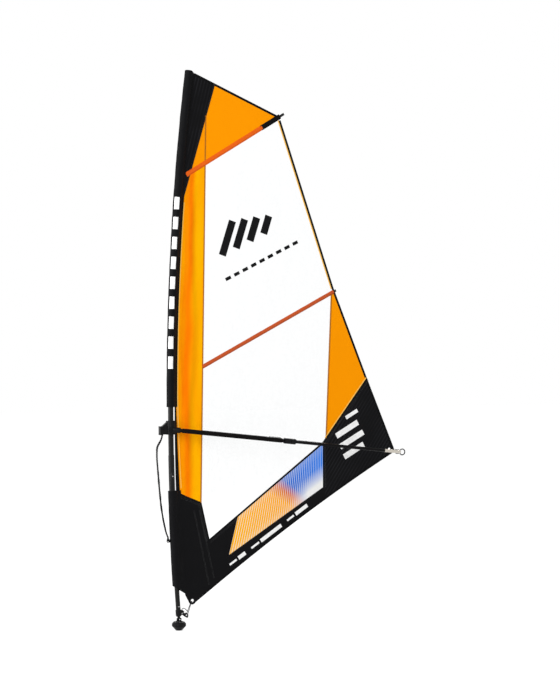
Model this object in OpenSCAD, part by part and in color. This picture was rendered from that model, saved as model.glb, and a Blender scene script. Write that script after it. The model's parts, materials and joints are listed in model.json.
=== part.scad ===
// Windsurf sail rig: a foot with a universal joint, a bent four-piece mast, a panelled sail with
// two battens in a luff sleeve, and a wishbone boom whose tail slides out.
// X runs from the mast towards the clew, Y runs across the sail and Z points up.
// The origin is the centre of the foot's underside, where it sits on the board.

/* [Foot] */
// Widest diameter of the foot
foot_d = 110; // [104:1:116]
// Height of the foot's rim
foot_h = 66; // [60:1:74]
// Diameter of the stud that screws into the board
stud_d = 8; // [6:1:10]
// Length of the stud below the foot
stud_l = 22; // [16:1:30]
// Diameter of the universal joint's pins
pin_d = 6; // [5:0.5:7]
// Side of the universal joint's cross
cross_w = 24; // [22:1:25]

/* [Mast] */
// Outer diameter of the lowest mast section
mast_d = 46; // [44:1:50]
// Wall of the mast and extension tubes
mast_wall = 2; // [1.6:0.1:2.4]
// Radius that the rigged mast bends to
mast_bend_r = 21200; // [20000:100:24000]
// Forward lean of the mast at its foot, in degrees
mast_rake = 4.6; // [4.3:0.1:4.8]
// Length of one section inside the next
section_overlap = 240; // [200:10:300]
// Distance of a spring button below the end of its section
button_drop = 160; // [140:1:180]
// Diameter of the spring buttons
button_d = 8; // [6:0.5:9]
// Outer diameter of the extension tube
extension_d = 36; // [34:0.5:38]
// Height of the mast's lower end along the mast, from the joint
mast_start = 285; // [270:1:320]

/* [Sail] */
// Luff length of the sail
luff_l = 4100; // [3950:10:4250]
// Distance from the foot to the clew
sail_w = 1896; // [1800:2:1980]
// Thickness of the sail cloth and film
cloth_t = 1; // [0.8:0.1:1.4]
// Front of the luff sleeve ahead of the mast's axis
sleeve_front = 33; // [31:0.5:36]
// Back of the upper luff sleeve behind the mast's axis
sleeve_back = 46; // [42:0.5:52]
// Back of the lower luff sleeve behind the mast's axis
sleeve_back_low = 64; // [58:0.5:70]
// Wall of the luff sleeve
sleeve_t = 1.2; // [1:0.1:1.6]
// Hollow of the foot edge
foot_hollow = 38; // [20:1:50]
// Depth of the ripples in the luff panel
ripple = 9; // [4:0.5:14]
// Width of the edge tapes
tape_w = 14; // [10:0.5:18]

/* [Battens] */
// Width of the batten pockets
pocket_w = 36; // [30:1:44]
// Width of the battens
batten_w = 20; // [14:1:24]
// Thickness of the battens
batten_t = 3; // [2:0.25:4]

/* [Boom] */
// Height of the boom at the mast
boom_z = 1546; // [1480:2:1600]
// Fall of the boom towards the clew, in degrees
boom_drop = 6.4; // [5.6:0.1:7.2]
// Outer diameter of the front arms
arm_d = 29; // [27:0.5:31]
// Wall of the boom tubes
boom_wall = 1.5; // [1.2:0.1:1.8]
// Thickness of the grip on the front arms
grip_t = 3; // [2:0.25:4]
// Angle at which the arms leave the boom head
bow_angle = 20; // [18:0.5:22]
// Reach of the front arms along the boom
arm_reach = 990; // [960:2:1060]
// Height of the boom head's clamp
head_h = 106; // [96:1:110]

/* [Lines] */
// Diameter of the downhaul and outhaul lines
line_d = 6; // [5:0.25:6.5]
// Diameter of the uphaul line
uphaul_d = 14; // [10:0.5:15]

/* [Clearances] */
// Radial clearance of pins and shafts that turn
run_gap = 0.05; // [0.03:0.01:0.08]
// Clearance of parts that slide on each other
slide_gap = 0.3; // [0.2:0.05:0.4]
// Clearance of the boom clamp around the bent mast
clamp_gap = 0.9; // [0.8:0.05:0.95]
// Clearance of parts that are seated or sewn together
seat_gap = 0.15; // [0.1:0.05:0.2]

/* [Hidden] */

$fn = 64;
eps = 0.01;
black = [0.10, 0.10, 0.11];
orange = [1.0, 0.55, 0.02];
red_orange = [0.80, 0.33, 0.16];
film = [0.90, 0.95, 1.0, 0.35];
steel = [0.75, 0.76, 0.78];
rubber = [0.16, 0.16, 0.17];

// Universal joint: two forks and a cross whose axes meet at the pivot
pin_r = pin_d / 2;
ear_gap = 0.4;
ear_t = 6;
ear_r = 8.5;
ear_root = 5;
ear_in = cross_w / 2 + ear_gap;
ear_out = ear_in + ear_t;
pin_head_t = 1.6;
pin_head_r = 5;
joint_reach = norm([ear_out + slide_gap + pin_head_t, pin_head_r]);
joint_free = 2;
pivot_h = foot_h + 18;
swivel_top = pivot_h - joint_reach - joint_free;
swivel_t = 10;
swivel_r = 24;
swivel_floor = swivel_top - swivel_t - slide_gap;
spindle_r = 10;
spindle_l = 24;
pad_t = 3;
pad_r = 27;
foot_r = foot_d / 2;
foot_belly = 0.5;
foot_shoulder = 0.76;
foot_taper = 14;
foot_scoops = 10;
scoop_r = 9;
scoop_out = 6;
swivel_clear = 2;
stud_r = stud_d / 2;
stud_seat = 20;
stud_shank = stud_r + 1.5;
bridge_z = joint_reach + joint_free;
bridge_t = 7;
bridge_r = 20;
upper_spindle_r = 8;

// Foot cup that holds the extension tube
extension_r = extension_d / 2;
cup_z = bridge_z + bridge_t;
cup_floor_t = 12;
cup_l = 42;
cup_r = 22.5;
release_r = 4;
release_l = 9;
release_proud = 3;

// Mast: the axis is an arc that starts at the pivot
function tenths(v) = round(v * 10) / 10;
bend_x = tenths(mast_bend_r * cos(mast_rake));
bend_z = tenths(pivot_h + mast_bend_r * sin(mast_rake));
deg_per_mm = 180 / (PI * mast_bend_r);
arc_fn = 2880;
section_gap = 0.2;
section_count = 4;
luff_scale = luff_l / 4100;
width_scale = sail_w / 1896;
tack_z = 220;
tack_x = 110;
function sail_z(z) = tack_z + (z - tack_z) * luff_scale;
function seam(x, z) = [x * width_scale, sail_z(z)];
head_z = sail_z(4300);
function mast_x(z) = bend_x - sqrt(pow(mast_bend_r, 2) - pow(z - bend_z, 2));
function mast_s(z) = (asin((z - bend_z) / mast_bend_r) + mast_rake) / deg_per_mm;
function mast_lean(s) = s * deg_per_mm - mast_rake;
mast_top = mast_s(head_z) - 17;
section_l = (mast_top - mast_start) / section_count;
function mast_r(k) = mast_d / 2 - (k - 1) * (mast_wall + section_gap);
function section_end(k) = mast_start + k * section_l;
button_r = button_d / 2;
button_proud = 3;
button_flange = 1.6;
button_flange_t = 3;
extension_top = mast_start + 150;
extension_button_s = 99;
collar_t = 12;
collar_r = 29;
bush_l = 60;

// Boom cut-out between the two luff sleeves
cut_low = boom_z - 472;
cut_high = boom_z + 173;
hem_t = 3;
hem_low = cut_low + 3;
function luff_back(z) =
  z >= cut_high ? sleeve_back :
  z <= cut_low ? sleeve_back_low :
  sleeve_back_low + (sleeve_back - sleeve_back_low) * (z - cut_low) / (cut_high - cut_low);
function luff_x(z) =
  bend_x - sqrt(pow(mast_bend_r - luff_back(z) - seat_gap, 2) - pow(z - bend_z, 2));
function mix(a, b, t) = a + (b - a) * t;
function luff_edge(z0, z1, n) = [
  for (i = [0:n])
    let (z = mix(z0, z1, i / n))
      [luff_x(z), z]
];

// Corners and seams of the sail, in the plane of the sail
tack = [tack_x, tack_z];
tack_round = 31;
head = [luff_x(head_z), head_z];
peak = seam(853, 4008);
leech_mid = seam(1334, 2657);
leech_low = seam(1641, 1925);
clew_z = boom_z - sail_w * tan(boom_drop) + 2;
clew = [sail_w, clew_z];
clew_up = clew + [-9, 24];
clew_down = clew + [-23, -25];
foot_start = tack + [25, -17];
function foot_edge(t) = mix(foot_start, clew_down, t) + [0, 4 * foot_hollow * t * (1 - t)];
function foot_run(t0, t1, n) = [for (i = [0:n]) foot_edge(mix(t0, t1, i / n))];
foot_front = 0.125;
foot_rear = 0.651;
patch_low_z = sail_z(3337);
patch_low = [luff_x(patch_low_z), patch_low_z];
patch_top = mix(head, peak, 0.233);
batten_1_z = sail_z(3509);
batten_1_start = [luff_x(batten_1_z) + 13, batten_1_z];
patch_batten = mix(patch_low, patch_top, 0.208);
seam_top = mix(patch_batten, peak, 0.167);
seam_low = seam(182, 971);
luff_low = [luff_x(sail_z(1055)), sail_z(1055)];
batten_2_start = mix(seam_low, seam_top, 0.401);
batten_2_end = mix(leech_mid, leech_low, 0.033);
panel_top = mix(batten_2_start, batten_2_end, 0.976);
panel_low = seam(1244, 1414);
leech_corner = mix(panel_low, leech_low, 0.06);
notch = seam(250, 677);
print_top = mix(notch, panel_low, 0.24);
print_low = seam(410, 545);
print_rear = seam(1245, 1052);
sleeve_low_z = 268;
head_rise = 14;
eyelet_r = 20;
eyelet_core = 16;
eyelet_bore = 12;
eyelet_t = 6;
clew_eye = clew + [-50, 9];

// Batten pockets on the near face of the sail
pocket_skin = 0.8;
pocket_slack = 0.2;
pocket_t = batten_t + 2 * pocket_slack + 2 * pocket_skin;
batten_tip = 45;
batten_stub = 12;
batten_set = 20;
tape_t = 0.6;
tape_clear = 0.75;
head_tape_from = 0.01;
head_tape_to = 0.94;
foot_tape_from = 0.985;
foot_tape_to = 0.03;

// Boom: two arms that bow out from the head and run parallel at the tail
boom_s = mast_s(boom_z);
boom_mast_r = mast_r(2);
liner_t = 3;
liner_in = boom_mast_r + clamp_gap;
head_bore = liner_in + liner_t;
head_wall = 13;
head_r = head_bore + head_wall;
head_back = head_bore + 4.8;
head_low = -38;
head_top = head_low + head_h;
hem_gap = 10.5;
hem_front = head_back + hem_gap;
arm_r = arm_d / 2;
arm_x = 12;
arm_y = 50;
bow_r = 1500;
function cents(v) = round(v * 100) / 100;
arm_straight = cents(arm_x + bow_r * sin(bow_angle));
tail_y = cents(arm_y + bow_r * (1 - cos(bow_angle)));
bow_centre = [arm_straight, tail_y - bow_r];
tail_r = arm_r - boom_wall - slide_gap;
socket_l = 46;
socket_back = 16;
socket_wall = 7;
grip_start = 2.2;
grip_end = 108;
collar_l = 96;
collar_lip = 8;
collar_wall = 7.5;
boom_retract = 15;
yoke_x = (sail_w - mast_x(boom_z)) / cos(boom_drop) + tail_r + boom_retract;
yoke_centre = yoke_x - tail_y;
yoke_start = yoke_centre - 58;
leg_overlap = 200;
lever_pin_r = 2;
lever_knuckle = 5;
lever_y = tail_y + arm_r + collar_wall + lever_knuckle + 1;
lever_x = arm_reach - 26;
lever_l = 48;
lever_h = 14;
lug_t = 4;
lug_root = 6;
ring_r = 24;
ring_wire = 4.5;
ring_hole = 5.3;
ring_lug_t = 8;
ring_lug_w = 18;
ring_lug_l = 20;
ring_x = yoke_x + tail_r + 9;

// Boom head's nose and its clamp lever
nose_half = 16;
nose_x = -(head_r + 46);
nose_low = -36;
nose_top = 30;
nose_chin = 16;
nose_root = 8 - head_r;
head_slope = 6;
cam_pin = [nose_x + 12, 20];
cam_pin_r = 3;
cam_knuckle = 8;
cam_cheek = 6;
cam_plate = 8;
cam_low = -40;
cam_slot_w = 14;
cam_slot_h = 10;
uphaul_hole_x = nose_x + 14;
uphaul_hole_l = 24;
bridge_l = 48;
bridge_h = 36;
socket_sweep = 5;

// Downhaul tackle between the tack eyelet and the foot cup
line_r = line_d / 2;
cheek_in = 5;
cheek_t = 4;
sheave_at = [58, pivot_h + 28];
sheave_r = 11;
sheave_root = 8.2;
sheave_half = 4.5;
axle_r = 3;
axle_head = 6;
axle_far = cheek_in + cheek_t + line_d + 1;
line_sheave_r = sheave_root + line_r + 0.4;
line_axle_r = axle_r + line_r + slide_gap;
line_cheek_y = cheek_in + cheek_t + line_r + 0.4;
cleat_half = 10;
cleat_slot = line_r + 0.3;

// Uphaul line from the boom head to a loop on the lower sleeve
uphaul_r = uphaul_d / 2;
loop_z = 690;
loop_r = 10;
loop_wire = 3;
loop_tab = 6;
loop_tab_w = 14;
loop_tab_h = 22;
loop_at = [mast_x(loop_z) - sleeve_front - loop_tab - loop_r, loop_z];

// Places a shape on the mast's axis, s along it from the pivot
module on_mast(s) {
  lean = mast_lean(s);
  translate([bend_x - mast_bend_r * cos(lean), 0, bend_z + mast_bend_r * sin(lean)])
    rotate([0, lean, 0])
      children();
}

// Bent tube along the mast, whose profile starts on the far side, away from the button holes
module mast_tube(s0, s1, outer, inner) {
  mast_sweep(s0, s1)
    rotate(90)
      ring2d(outer, inner);
}

// Sweeps a flat profile along the mast's arc: x of the profile points forward, y across
module mast_sweep(s0, s1) {
  translate([bend_x, 0, bend_z])
    rotate([90, 0, 180])
      rotate([0, 0, mast_lean(s0)])
        rotate_extrude(angle = (s1 - s0) * deg_per_mm, $fn = arc_fn)
          translate([mast_bend_r, 0])
            children();
}

module ring2d(outer, inner) {
  difference() {
    circle(outer);
    circle(inner);
  }
}

// Plate in the plane of the sail, centred on it
module sheet(points, t = cloth_t) {
  rotate([90, 0, 0])
    linear_extrude(t, center = true)
      polygon(points);
}

module across(at, r, y0, y1) {
  translate([at[0], y0, at[1]])
    rotate([-90, 0, 0])
      cylinder(r = r, h = y1 - y0);
}

// Round tube along a route, with the points of its rings turned to follow it
function unit(v) = v / norm(v);
function heading(route, i) =
  unit(route[min(i + 1, len(route) - 1)] - route[max(i - 1, 0)]);
function aside(dir) = unit(cross(dir, abs(dir[1]) < 0.9 ? [0, 1, 0] : [1, 0, 0]));
function carried(side, dir) = unit(side - dir * (side * dir));
function sides_along(route, i = 0, side = undef) =
  i == len(route) ? [] :
  let (
    dir = heading(route, i),
    now = side == undef ? aside(dir) : carried(side, dir)
  )
    concat([now], sides_along(route, i + 1, now));

module tube_along(route, r, facets = 8) {
  rings = len(route);
  side = sides_along(route);
  points = [
    for (i = [0:rings - 1])
      for (k = [0:facets - 1])
        let (
          u = side[i],
          v = cross(heading(route, i), u),
          a = 360 * k / facets
        )
          route[i] + r * (u * cos(a) + v * sin(a))
  ];
  walls = [
    for (i = [0:rings - 2])
      for (k = [0:facets - 1])
        let (
          a = i * facets + k,
          b = i * facets + (k + 1) % facets
        )
          each [[a, a + facets, b], [b, a + facets, b + facets]]
  ];
  start_cap = [for (k = [1:facets - 2]) [0, k, k + 1]];
  last = (rings - 1) * facets;
  end_cap = [for (k = [1:facets - 2]) [last, last + k + 1, last + k]];
  polyhedron(points, concat(walls, start_cap, end_cap));
}

// Smooth curve through hand-picked points
function bend(p0, p1, p2, p3, t) =
  0.5 * (2 * p1 + (p2 - p0) * t + (2 * p0 - 5 * p1 + 4 * p2 - p3) * t * t
    + (3 * p1 - p0 - 3 * p2 + p3) * t * t * t);
function smooth(p, steps) = concat([
  for (i = [0:len(p) - 2])
    for (j = [0:steps - 1])
      bend(p[max(i - 1, 0)], p[i], p[i + 1], p[min(i + 2, len(p) - 1)], j / steps)
], [p[len(p) - 1]]);

// Foot on the board

module base_disc() {
  color(black)
    difference() {
      rotate_extrude()
        polygon([
          [0, pad_t], [pad_r, pad_t], [foot_r, foot_h * foot_belly],
          [foot_r, foot_h * foot_shoulder], [foot_r - foot_taper, foot_h],
          [swivel_r + 2 * swivel_clear, foot_h], [swivel_r + swivel_clear, foot_h - swivel_clear],
          [swivel_r + swivel_clear, swivel_floor], [0, swivel_floor]
        ]);
      translate([0, 0, -eps])
        cylinder(r = stud_shank, h = stud_seat + eps);
      translate([0, 0, swivel_floor - spindle_l - 1])
        cylinder(r = spindle_r + run_gap, h = spindle_l + 2);
      for (i = [0:foot_scoops - 1])
        rotate([0, 0, 360 * (i + 0.5) / foot_scoops])
          translate([foot_r + scoop_out, 0, 0])
            cylinder(r = scoop_r, h = foot_h + 1);
    }
}

module deck_pad() {
  color(rubber)
    difference() {
      cylinder(r = pad_r, h = pad_t);
      translate([0, 0, -eps])
        cylinder(r = stud_shank, h = pad_t + 2 * eps);
    }
}

module board_stud() {
  color(steel) {
    translate([0, 0, -stud_l])
      cylinder(r = stud_r, h = stud_l + eps);
    cylinder(r = stud_shank, h = stud_seat);
  }
}

module fork_ears(root) {
  for (side = [-1, 1])
    translate([side * (ear_in + ear_out) / 2, 0, 0]) {
      rotate([0, 90, 0])
        cylinder(r = ear_r, h = ear_t, center = true);
      translate([-ear_t / 2, -ear_root, min(root, 0)])
        cube([ear_t, 2 * ear_root, abs(root)]);
    }
}

module lower_fork() {
  color(black)
    difference() {
      union() {
        translate([0, 0, swivel_top - swivel_t])
          cylinder(r = swivel_r, h = swivel_t);
        translate([0, 0, swivel_floor - spindle_l])
          cylinder(r = spindle_r, h = spindle_l + slide_gap + swivel_t / 2);
        translate([0, 0, pivot_h])
          fork_ears(-(joint_reach + joint_free + 1));
      }
      translate([0, 0, pivot_h])
        rotate([0, 90, 0])
          cylinder(r = pin_r, h = 2 * ear_out + 2, center = true);
    }
}

module roll_pin() {
  color(steel)
    translate([0, 0, pivot_h])
      rotate([0, 90, 0]) {
        cylinder(r = pin_r, h = 2 * ear_out, center = true);
        for (side = [-1, 1])
          translate([0, 0, side * (ear_out + pin_head_t / 2)])
            cylinder(r = pin_head_r, h = pin_head_t, center = true);
      }
}

module joint_cross() {
  bore_start = pin_r + 2;
  color(black)
    translate([0, 0, pivot_h])
      difference() {
        intersection() {
          cube(cross_w, center = true);
          sphere(r = cross_w * 0.68);
        }
        rotate([0, 90, 0])
          cylinder(r = pin_r + run_gap, h = cross_w + 2, center = true);
        across([0, 0], pin_r, bore_start, cross_w);
        across([0, 0], pin_r, -cross_w, -bore_start);
      }
}

module pitch_pins() {
  bore_start = pin_r + 2;
  head_at = ear_out + slide_gap;
  color(steel)
    translate([0, 0, pivot_h])
      for (turn = [0, 180])
        rotate([0, 0, turn]) {
          across([0, 0], pin_r, bore_start, head_at + eps);
          across([0, 0], pin_head_r, head_at, head_at + pin_head_t);
        }
}

module upper_fork() {
  color(black)
    on_mast(0)
      difference() {
        union() {
          rotate([0, 0, 90])
            fork_ears(bridge_z + 1);
          translate([0, 0, bridge_z])
            cylinder(r = bridge_r, h = bridge_t);
          translate([0, 0, bridge_z + bridge_t - 1])
            cylinder(r = upper_spindle_r, h = cup_floor_t + 1);
        }
        rotate([90, 0, 0])
          cylinder(r = pin_r + run_gap, h = 2 * ear_out + 2, center = true);
      }
}

// Two cheeks at the side of the cup that hold the downhaul sheave
module cup_cheeks() {
  p = pivot_h;
  outline = [
    [13, p + 33], [13, p + 43], [30, p + 41], [46, p + 43], [58, p + 45], [70, p + 40],
    [75, p + 28], [72, p + 9], [62, p + 7], [48, p + 16], [25, p + 33]
  ];
  for (side = [-1, 1])
    translate([0, side * (cheek_in + cheek_t / 2), 0])
      sheet(outline, cheek_t);
}

module foot_cup() {
  color(black)
    difference() {
      union() {
        on_mast(cup_z)
          cylinder(r = cup_r, h = cup_l);
        cup_cheeks();
      }
      on_mast(cup_z) {
        translate([0, 0, cup_floor_t])
          cylinder(r = extension_r + seat_gap, h = cup_l);
        translate([0, 0, -1])
          cylinder(r = upper_spindle_r + seat_gap, h = cup_floor_t + 2);
        translate([-cup_r - 1, 0, cup_floor_t / 2])
          rotate([0, 90, 0])
            cylinder(r = release_r + run_gap, h = 1 + cup_r - upper_spindle_r - 1.5);
      }
      across(sheave_at, axle_r, -cup_r, cup_r);
    }
}

module release_button() {
  color(red_orange)
    on_mast(cup_z)
      translate([-cup_r - release_proud, 0, cup_floor_t / 2])
        rotate([0, 90, 0])
          cylinder(r = release_r, h = release_l);
}

module pulley_axle() {
  color(steel) {
    across(sheave_at, axle_r, -cheek_in - cheek_t, axle_far);
    across(sheave_at, axle_head, -cheek_in - cheek_t - 2, -cheek_in - cheek_t);
    across(sheave_at, axle_head, axle_far, axle_far + 2);
  }
}

module downhaul_sheave() {
  color(steel)
    translate([sheave_at[0], 0, sheave_at[1]])
      rotate([90, 0, 0])
        rotate_extrude()
          polygon([
            [axle_r + run_gap, -sheave_half], [sheave_r, -sheave_half], [sheave_root, -2.2],
            [sheave_root, 2.2], [sheave_r, sheave_half], [axle_r + run_gap, sheave_half]
          ]);
}

// Jam cleat on the cup, with a slot between its jaws
module downhaul_cleat() {
  p = pivot_h;
  outline = [[14, p + 46], [12, p + 68], [27, p + 70], [40, p + 58], [38, p + 48]];
  color(black)
    difference() {
      sheet(outline, 2 * cleat_half);
      on_mast(cup_z - 1)
        cylinder(r = cup_r, h = cup_l + 2);
      translate([21, -cleat_slot, p])
        cube([40, 2 * cleat_slot, 100]);
    }
}

// Route: round the axle's end, up through the tack eyelet, down to the sheave, to the cleat
wrap_start = 90;
wrap_end = 335;
lead_angle = -25;
exit_angle = -147;
function around(angle, r, y) = [
  sheave_at[0] + r * cos(angle), y, sheave_at[1] + r * sin(angle)
];
downhaul_route = concat(
  [for (a = [wrap_start:35:wrap_end]) around(a, line_axle_r, line_cheek_y)],
  [
    [tack_x - 12, 8, tack_z - 21],
    [tack_x - 7, 7, tack_z - 10],
    [tack_x - 4, 4, tack_z - 5.5],
    [tack_x - 3, 0, tack_z - 4],
    [tack_x - 4, -4, tack_z - 5.5],
    [tack_x - 7, -7, tack_z - 10],
    [tack_x - 12, -6, tack_z - 21]
  ],
  [for (a = [lead_angle:-20.3:exit_angle]) around(a, line_sheave_r, 0)],
  [
    [33, 0, pivot_h + 48],
    [25.5, 0, pivot_h + 60],
    [25, 0, pivot_h + 70],
    [29, 0, pivot_h + 79],
    [40, 0, pivot_h + 81],
    [53, 0, pivot_h + 74],
    [63, 0, pivot_h + 64],
    [71, 0, pivot_h + 54]
  ]
);

module downhaul_line() {
  color(black)
    tube_along(downhaul_route, line_r);
}

// Mast and extension

// Stepped button through a tube's near wall, with a flange that keeps it in
module spring_button(s, tube_r, inner_r) {
  flange_r = button_r + button_flange;
  flange_y = sqrt(pow(inner_r, 2) - pow(flange_r, 2)) - 0.4;
  on_mast(s) {
    across([0, 0], button_r, -tube_r - button_proud, -flange_y);
    across([0, 0], flange_r, -flange_y, -flange_y + button_flange_t);
  }
}

module button_hole(s) {
  on_mast(s)
    across([0, 0], button_r + run_gap, -mast_d, 0);
}

module mast_section(k) {
  start = k == 1 ? mast_start : section_end(k - 1) - section_overlap;
  color(black)
    difference() {
      mast_tube(start, section_end(k), mast_r(k), mast_r(k) - mast_wall);
      if (k > 1)
        button_hole(section_end(k - 1) - button_drop);
      if (k < section_count)
        button_hole(section_end(k) - button_drop);
    }
}

module mast_button(k) {
  color(steel)
    spring_button(section_end(k) - button_drop, mast_r(k), mast_r(k + 1) - mast_wall);
}

module mast_section_1() { mast_section(1); }
module mast_section_2() { mast_section(2); }
module mast_section_3() { mast_section(3); }
module mast_section_4() { mast_section(4); }
module mast_button_1() { mast_button(1); }
module mast_button_2() { mast_button(2); }
module mast_button_3() { mast_button(3); }

// Plug in the mast's top whose skirt fills the luff sleeve
module mast_cap() {
  plug_r = mast_r(section_count) - mast_wall;
  skirt_r = sleeve_front - sleeve_t - slide_gap;
  plug_l = 30;
  cap_h = 23;
  color(black)
    on_mast(mast_top)
      rotate_extrude()
        polygon([
          [0, -plug_l], [plug_r - slide_gap, -plug_l], [plug_r - slide_gap, 0], [skirt_r, 0],
          [skirt_r, cap_h * 0.25], [mast_r(section_count), cap_h * 0.6], [8, cap_h - 1], [0, cap_h]
        ]);
}

module extension_tube() {
  color(black)
    difference() {
      mast_tube(cup_z + cup_floor_t, extension_top, extension_r, extension_r - mast_wall);
      button_hole(extension_button_s);
    }
}

module extension_collar() {
  bush_r = mast_r(1) - mast_wall - slide_gap;
  collar_in = extension_r + seat_gap;
  color(black) {
    mast_tube(mast_start - collar_t, mast_start, collar_r, collar_in);
    mast_tube(mast_start, mast_start + bush_l, bush_r, collar_in);
  }
}

module extension_button() {
  color(steel)
    spring_button(extension_button_s, extension_r, extension_r - mast_wall);
}

// Luff sleeves: a round front that tapers to the seam at the back
flank_lap = 10;
flank_in = 0.985;
sleeve_cut = 37;
sleeve_pleat = 8;

module sleeve2d(front, back, half) {
  start = acos(front / back) + flank_lap;
  inside = front * flank_in;
  circle(front);
  polygon([
    [-inside * cos(start), inside * sin(start)], [-back, half],
    [-back, -half], [-inside * cos(start), -inside * sin(start)]
  ]);
}

module sleeve_wall(s0, s1, back) {
  seam_half = cloth_t / 2 + sleeve_t;
  inner = sleeve_front - sleeve_t;
  mast_sweep(s0, s1)
    difference() {
      sleeve2d(sleeve_front, back, seam_half);
      sleeve2d(inner, max(inner + 2, back - sleeve_pleat), cloth_t / 2);
    }
}

module luff_sleeve_upper() {
  color(black)
    sleeve_wall(mast_s(cut_high), mast_s(head_z + head_rise), sleeve_back);
}

module luff_sleeve_lower() {
  color(black)
    sleeve_wall(mast_s(sleeve_low_z + sleeve_cut), mast_s(cut_low), sleeve_back_low);
}

// Doubled edge of the sail along the boom cut-out
module cutout_hem() {
  steps = 12;
  inner = [
    for (i = [0:steps])
      let (z = mix(cut_high, hem_low, i / steps))
        [mast_x(z) + hem_front, z]
  ];
  color(black)
    sheet(concat(luff_edge(hem_low, cut_high, steps), inner), hem_t);
}

// Sail panels

module head_patch() {
  color(black)
    sheet(concat(luff_edge(patch_low_z, head_z, 12), [patch_top]));
}

module head_panel() {
  color(orange)
    sheet([patch_batten, patch_top, peak]);
}

// Luff panel: cloth with upright ripples that die out at its seams
luff_cols = 10;
luff_rows = 48;
function luff_front(v) =
  let (
    z = mix(luff_low[1], patch_batten[1], v),
    t = (z - patch_low[1]) / (patch_top[1] - patch_low[1])
  )
    z <= patch_low_z ? [luff_x(z), z] : mix(patch_low, patch_top, t);
ripple_start = 0.05;
ripple_rise = 10;
function ripple_fade(v) =
  max(0, min(1, ripple_rise * (v - ripple_start), ripple_rise * (1 - ripple_start - v)));
function ripple_y(u, v) =
  ripple * ripple_fade(v) * sin(180 * u) * sin(576 * u + 60 * sin(540 * v));
function luff_point(i, j, side) =
  let (
    u = i / luff_cols,
    v = j / luff_rows,
    p = mix(luff_front(v), mix(seam_low, seam_top, v), u)
  )
    [p[0], ripple_y(u, v) + side * cloth_t / 2, p[1]];
function grid_index(i, j, side) =
  (side > 0 ? (luff_cols + 1) * (luff_rows + 1) : 0) + j * (luff_cols + 1) + i;
function quad(a, b, c, d) = [[a, b, c], [a, c, d]];

module luff_panel() {
  points = [
    for (side = [-1, 1])
      for (j = [0:luff_rows])
        for (i = [0:luff_cols])
          luff_point(i, j, side)
  ];
  near = [
    for (j = [0:luff_rows - 1])
      for (i = [0:luff_cols - 1])
        each quad(grid_index(i, j, -1), grid_index(i, j + 1, -1),
          grid_index(i + 1, j + 1, -1), grid_index(i + 1, j, -1))
  ];
  far = [
    for (j = [0:luff_rows - 1])
      for (i = [0:luff_cols - 1])
        each quad(grid_index(i, j, 1), grid_index(i + 1, j, 1),
          grid_index(i + 1, j + 1, 1), grid_index(i, j + 1, 1))
  ];
  ends = [
    for (i = [0:luff_cols - 1])
      each concat(
        quad(grid_index(i, 0, -1), grid_index(i + 1, 0, -1),
          grid_index(i + 1, 0, 1), grid_index(i, 0, 1)),
        quad(grid_index(i, luff_rows, -1), grid_index(i, luff_rows, 1),
          grid_index(i + 1, luff_rows, 1), grid_index(i + 1, luff_rows, -1)))
  ];
  flanks = [
    for (j = [0:luff_rows - 1])
      each concat(
        quad(grid_index(0, j, -1), grid_index(0, j, 1),
          grid_index(0, j + 1, 1), grid_index(0, j + 1, -1)),
        quad(grid_index(luff_cols, j, -1), grid_index(luff_cols, j + 1, -1),
          grid_index(luff_cols, j + 1, 1), grid_index(luff_cols, j, 1)))
  ];
  color(orange)
    polyhedron(points, concat(near, far, ends, flanks));
}

module window_upper() {
  color(film)
    sheet([seam_top, peak, leech_mid, batten_2_end, batten_2_start]);
}

module window_lower() {
  color(film)
    sheet([batten_2_start, panel_top, leech_corner, panel_low, print_top, notch, seam_low]);
}

module leech_panel() {
  color(orange)
    sheet([panel_top, batten_2_end, leech_low, leech_corner]);
}

module clew_panel() {
  color(black)
    difference() {
      sheet(concat(
        [panel_low, leech_low, clew_up, clew],
        foot_run(1, foot_rear, 6),
        [print_rear]
      ));
      across(clew_eye, eyelet_core, -cloth_t, cloth_t);
    }
}

module tack_panel() {
  color(black)
    difference() {
      union() {
        sheet(concat(
          luff_edge(sleeve_low_z, luff_low[1], 10),
          [seam_low, notch, print_top, print_low],
          foot_run(foot_front, 0, 3),
          [tack + [-27, -13]]
        ));
        across(tack, tack_round, -cloth_t / 2, cloth_t / 2);
      }
      across(tack, eyelet_core, -cloth_t, cloth_t);
    }
}

module foot_band() {
  color(black)
    sheet(concat([print_low, print_rear], foot_run(foot_rear, foot_front, 8)));
}

module print_panel() {
  color([0.30, 0.42, 0.62])
    sheet([print_low, print_top, panel_low, print_rear]);
}

// Battens in pockets sewn to the near face

module along_batten(start, end) {
  run = end - start;
  translate([start[0], -cloth_t / 2, start[1]])
    rotate([0, -atan2(run[1], run[0]), 0])
      children();
}

module batten_pocket(start, end) {
  length = norm(end - start);
  slot_w = batten_w + 2 * pocket_slack;
  color(red_orange)
    along_batten(start, end)
      difference() {
        translate([0, -pocket_t, -pocket_w / 2])
          cube([length, pocket_t, pocket_w]);
        translate([batten_set - 1, pocket_skin - pocket_t, -slot_w / 2])
          cube([length, pocket_t - 2 * pocket_skin, slot_w]);
      }
}

module batten(start, end, past) {
  color(black)
    along_batten(start, end)
      translate([batten_set, -pocket_t / 2 - batten_t / 2, -batten_w / 2])
        cube([norm(end - start) - batten_set + past, batten_t, batten_w]);
}

module batten_pocket_upper() { batten_pocket(batten_1_start, peak); }
module batten_upper() { batten(batten_1_start, peak, batten_tip); }
module batten_pocket_lower() { batten_pocket(batten_2_start, batten_2_end); }
module batten_lower() { batten(batten_2_start, batten_2_end, batten_stub); }

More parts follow.
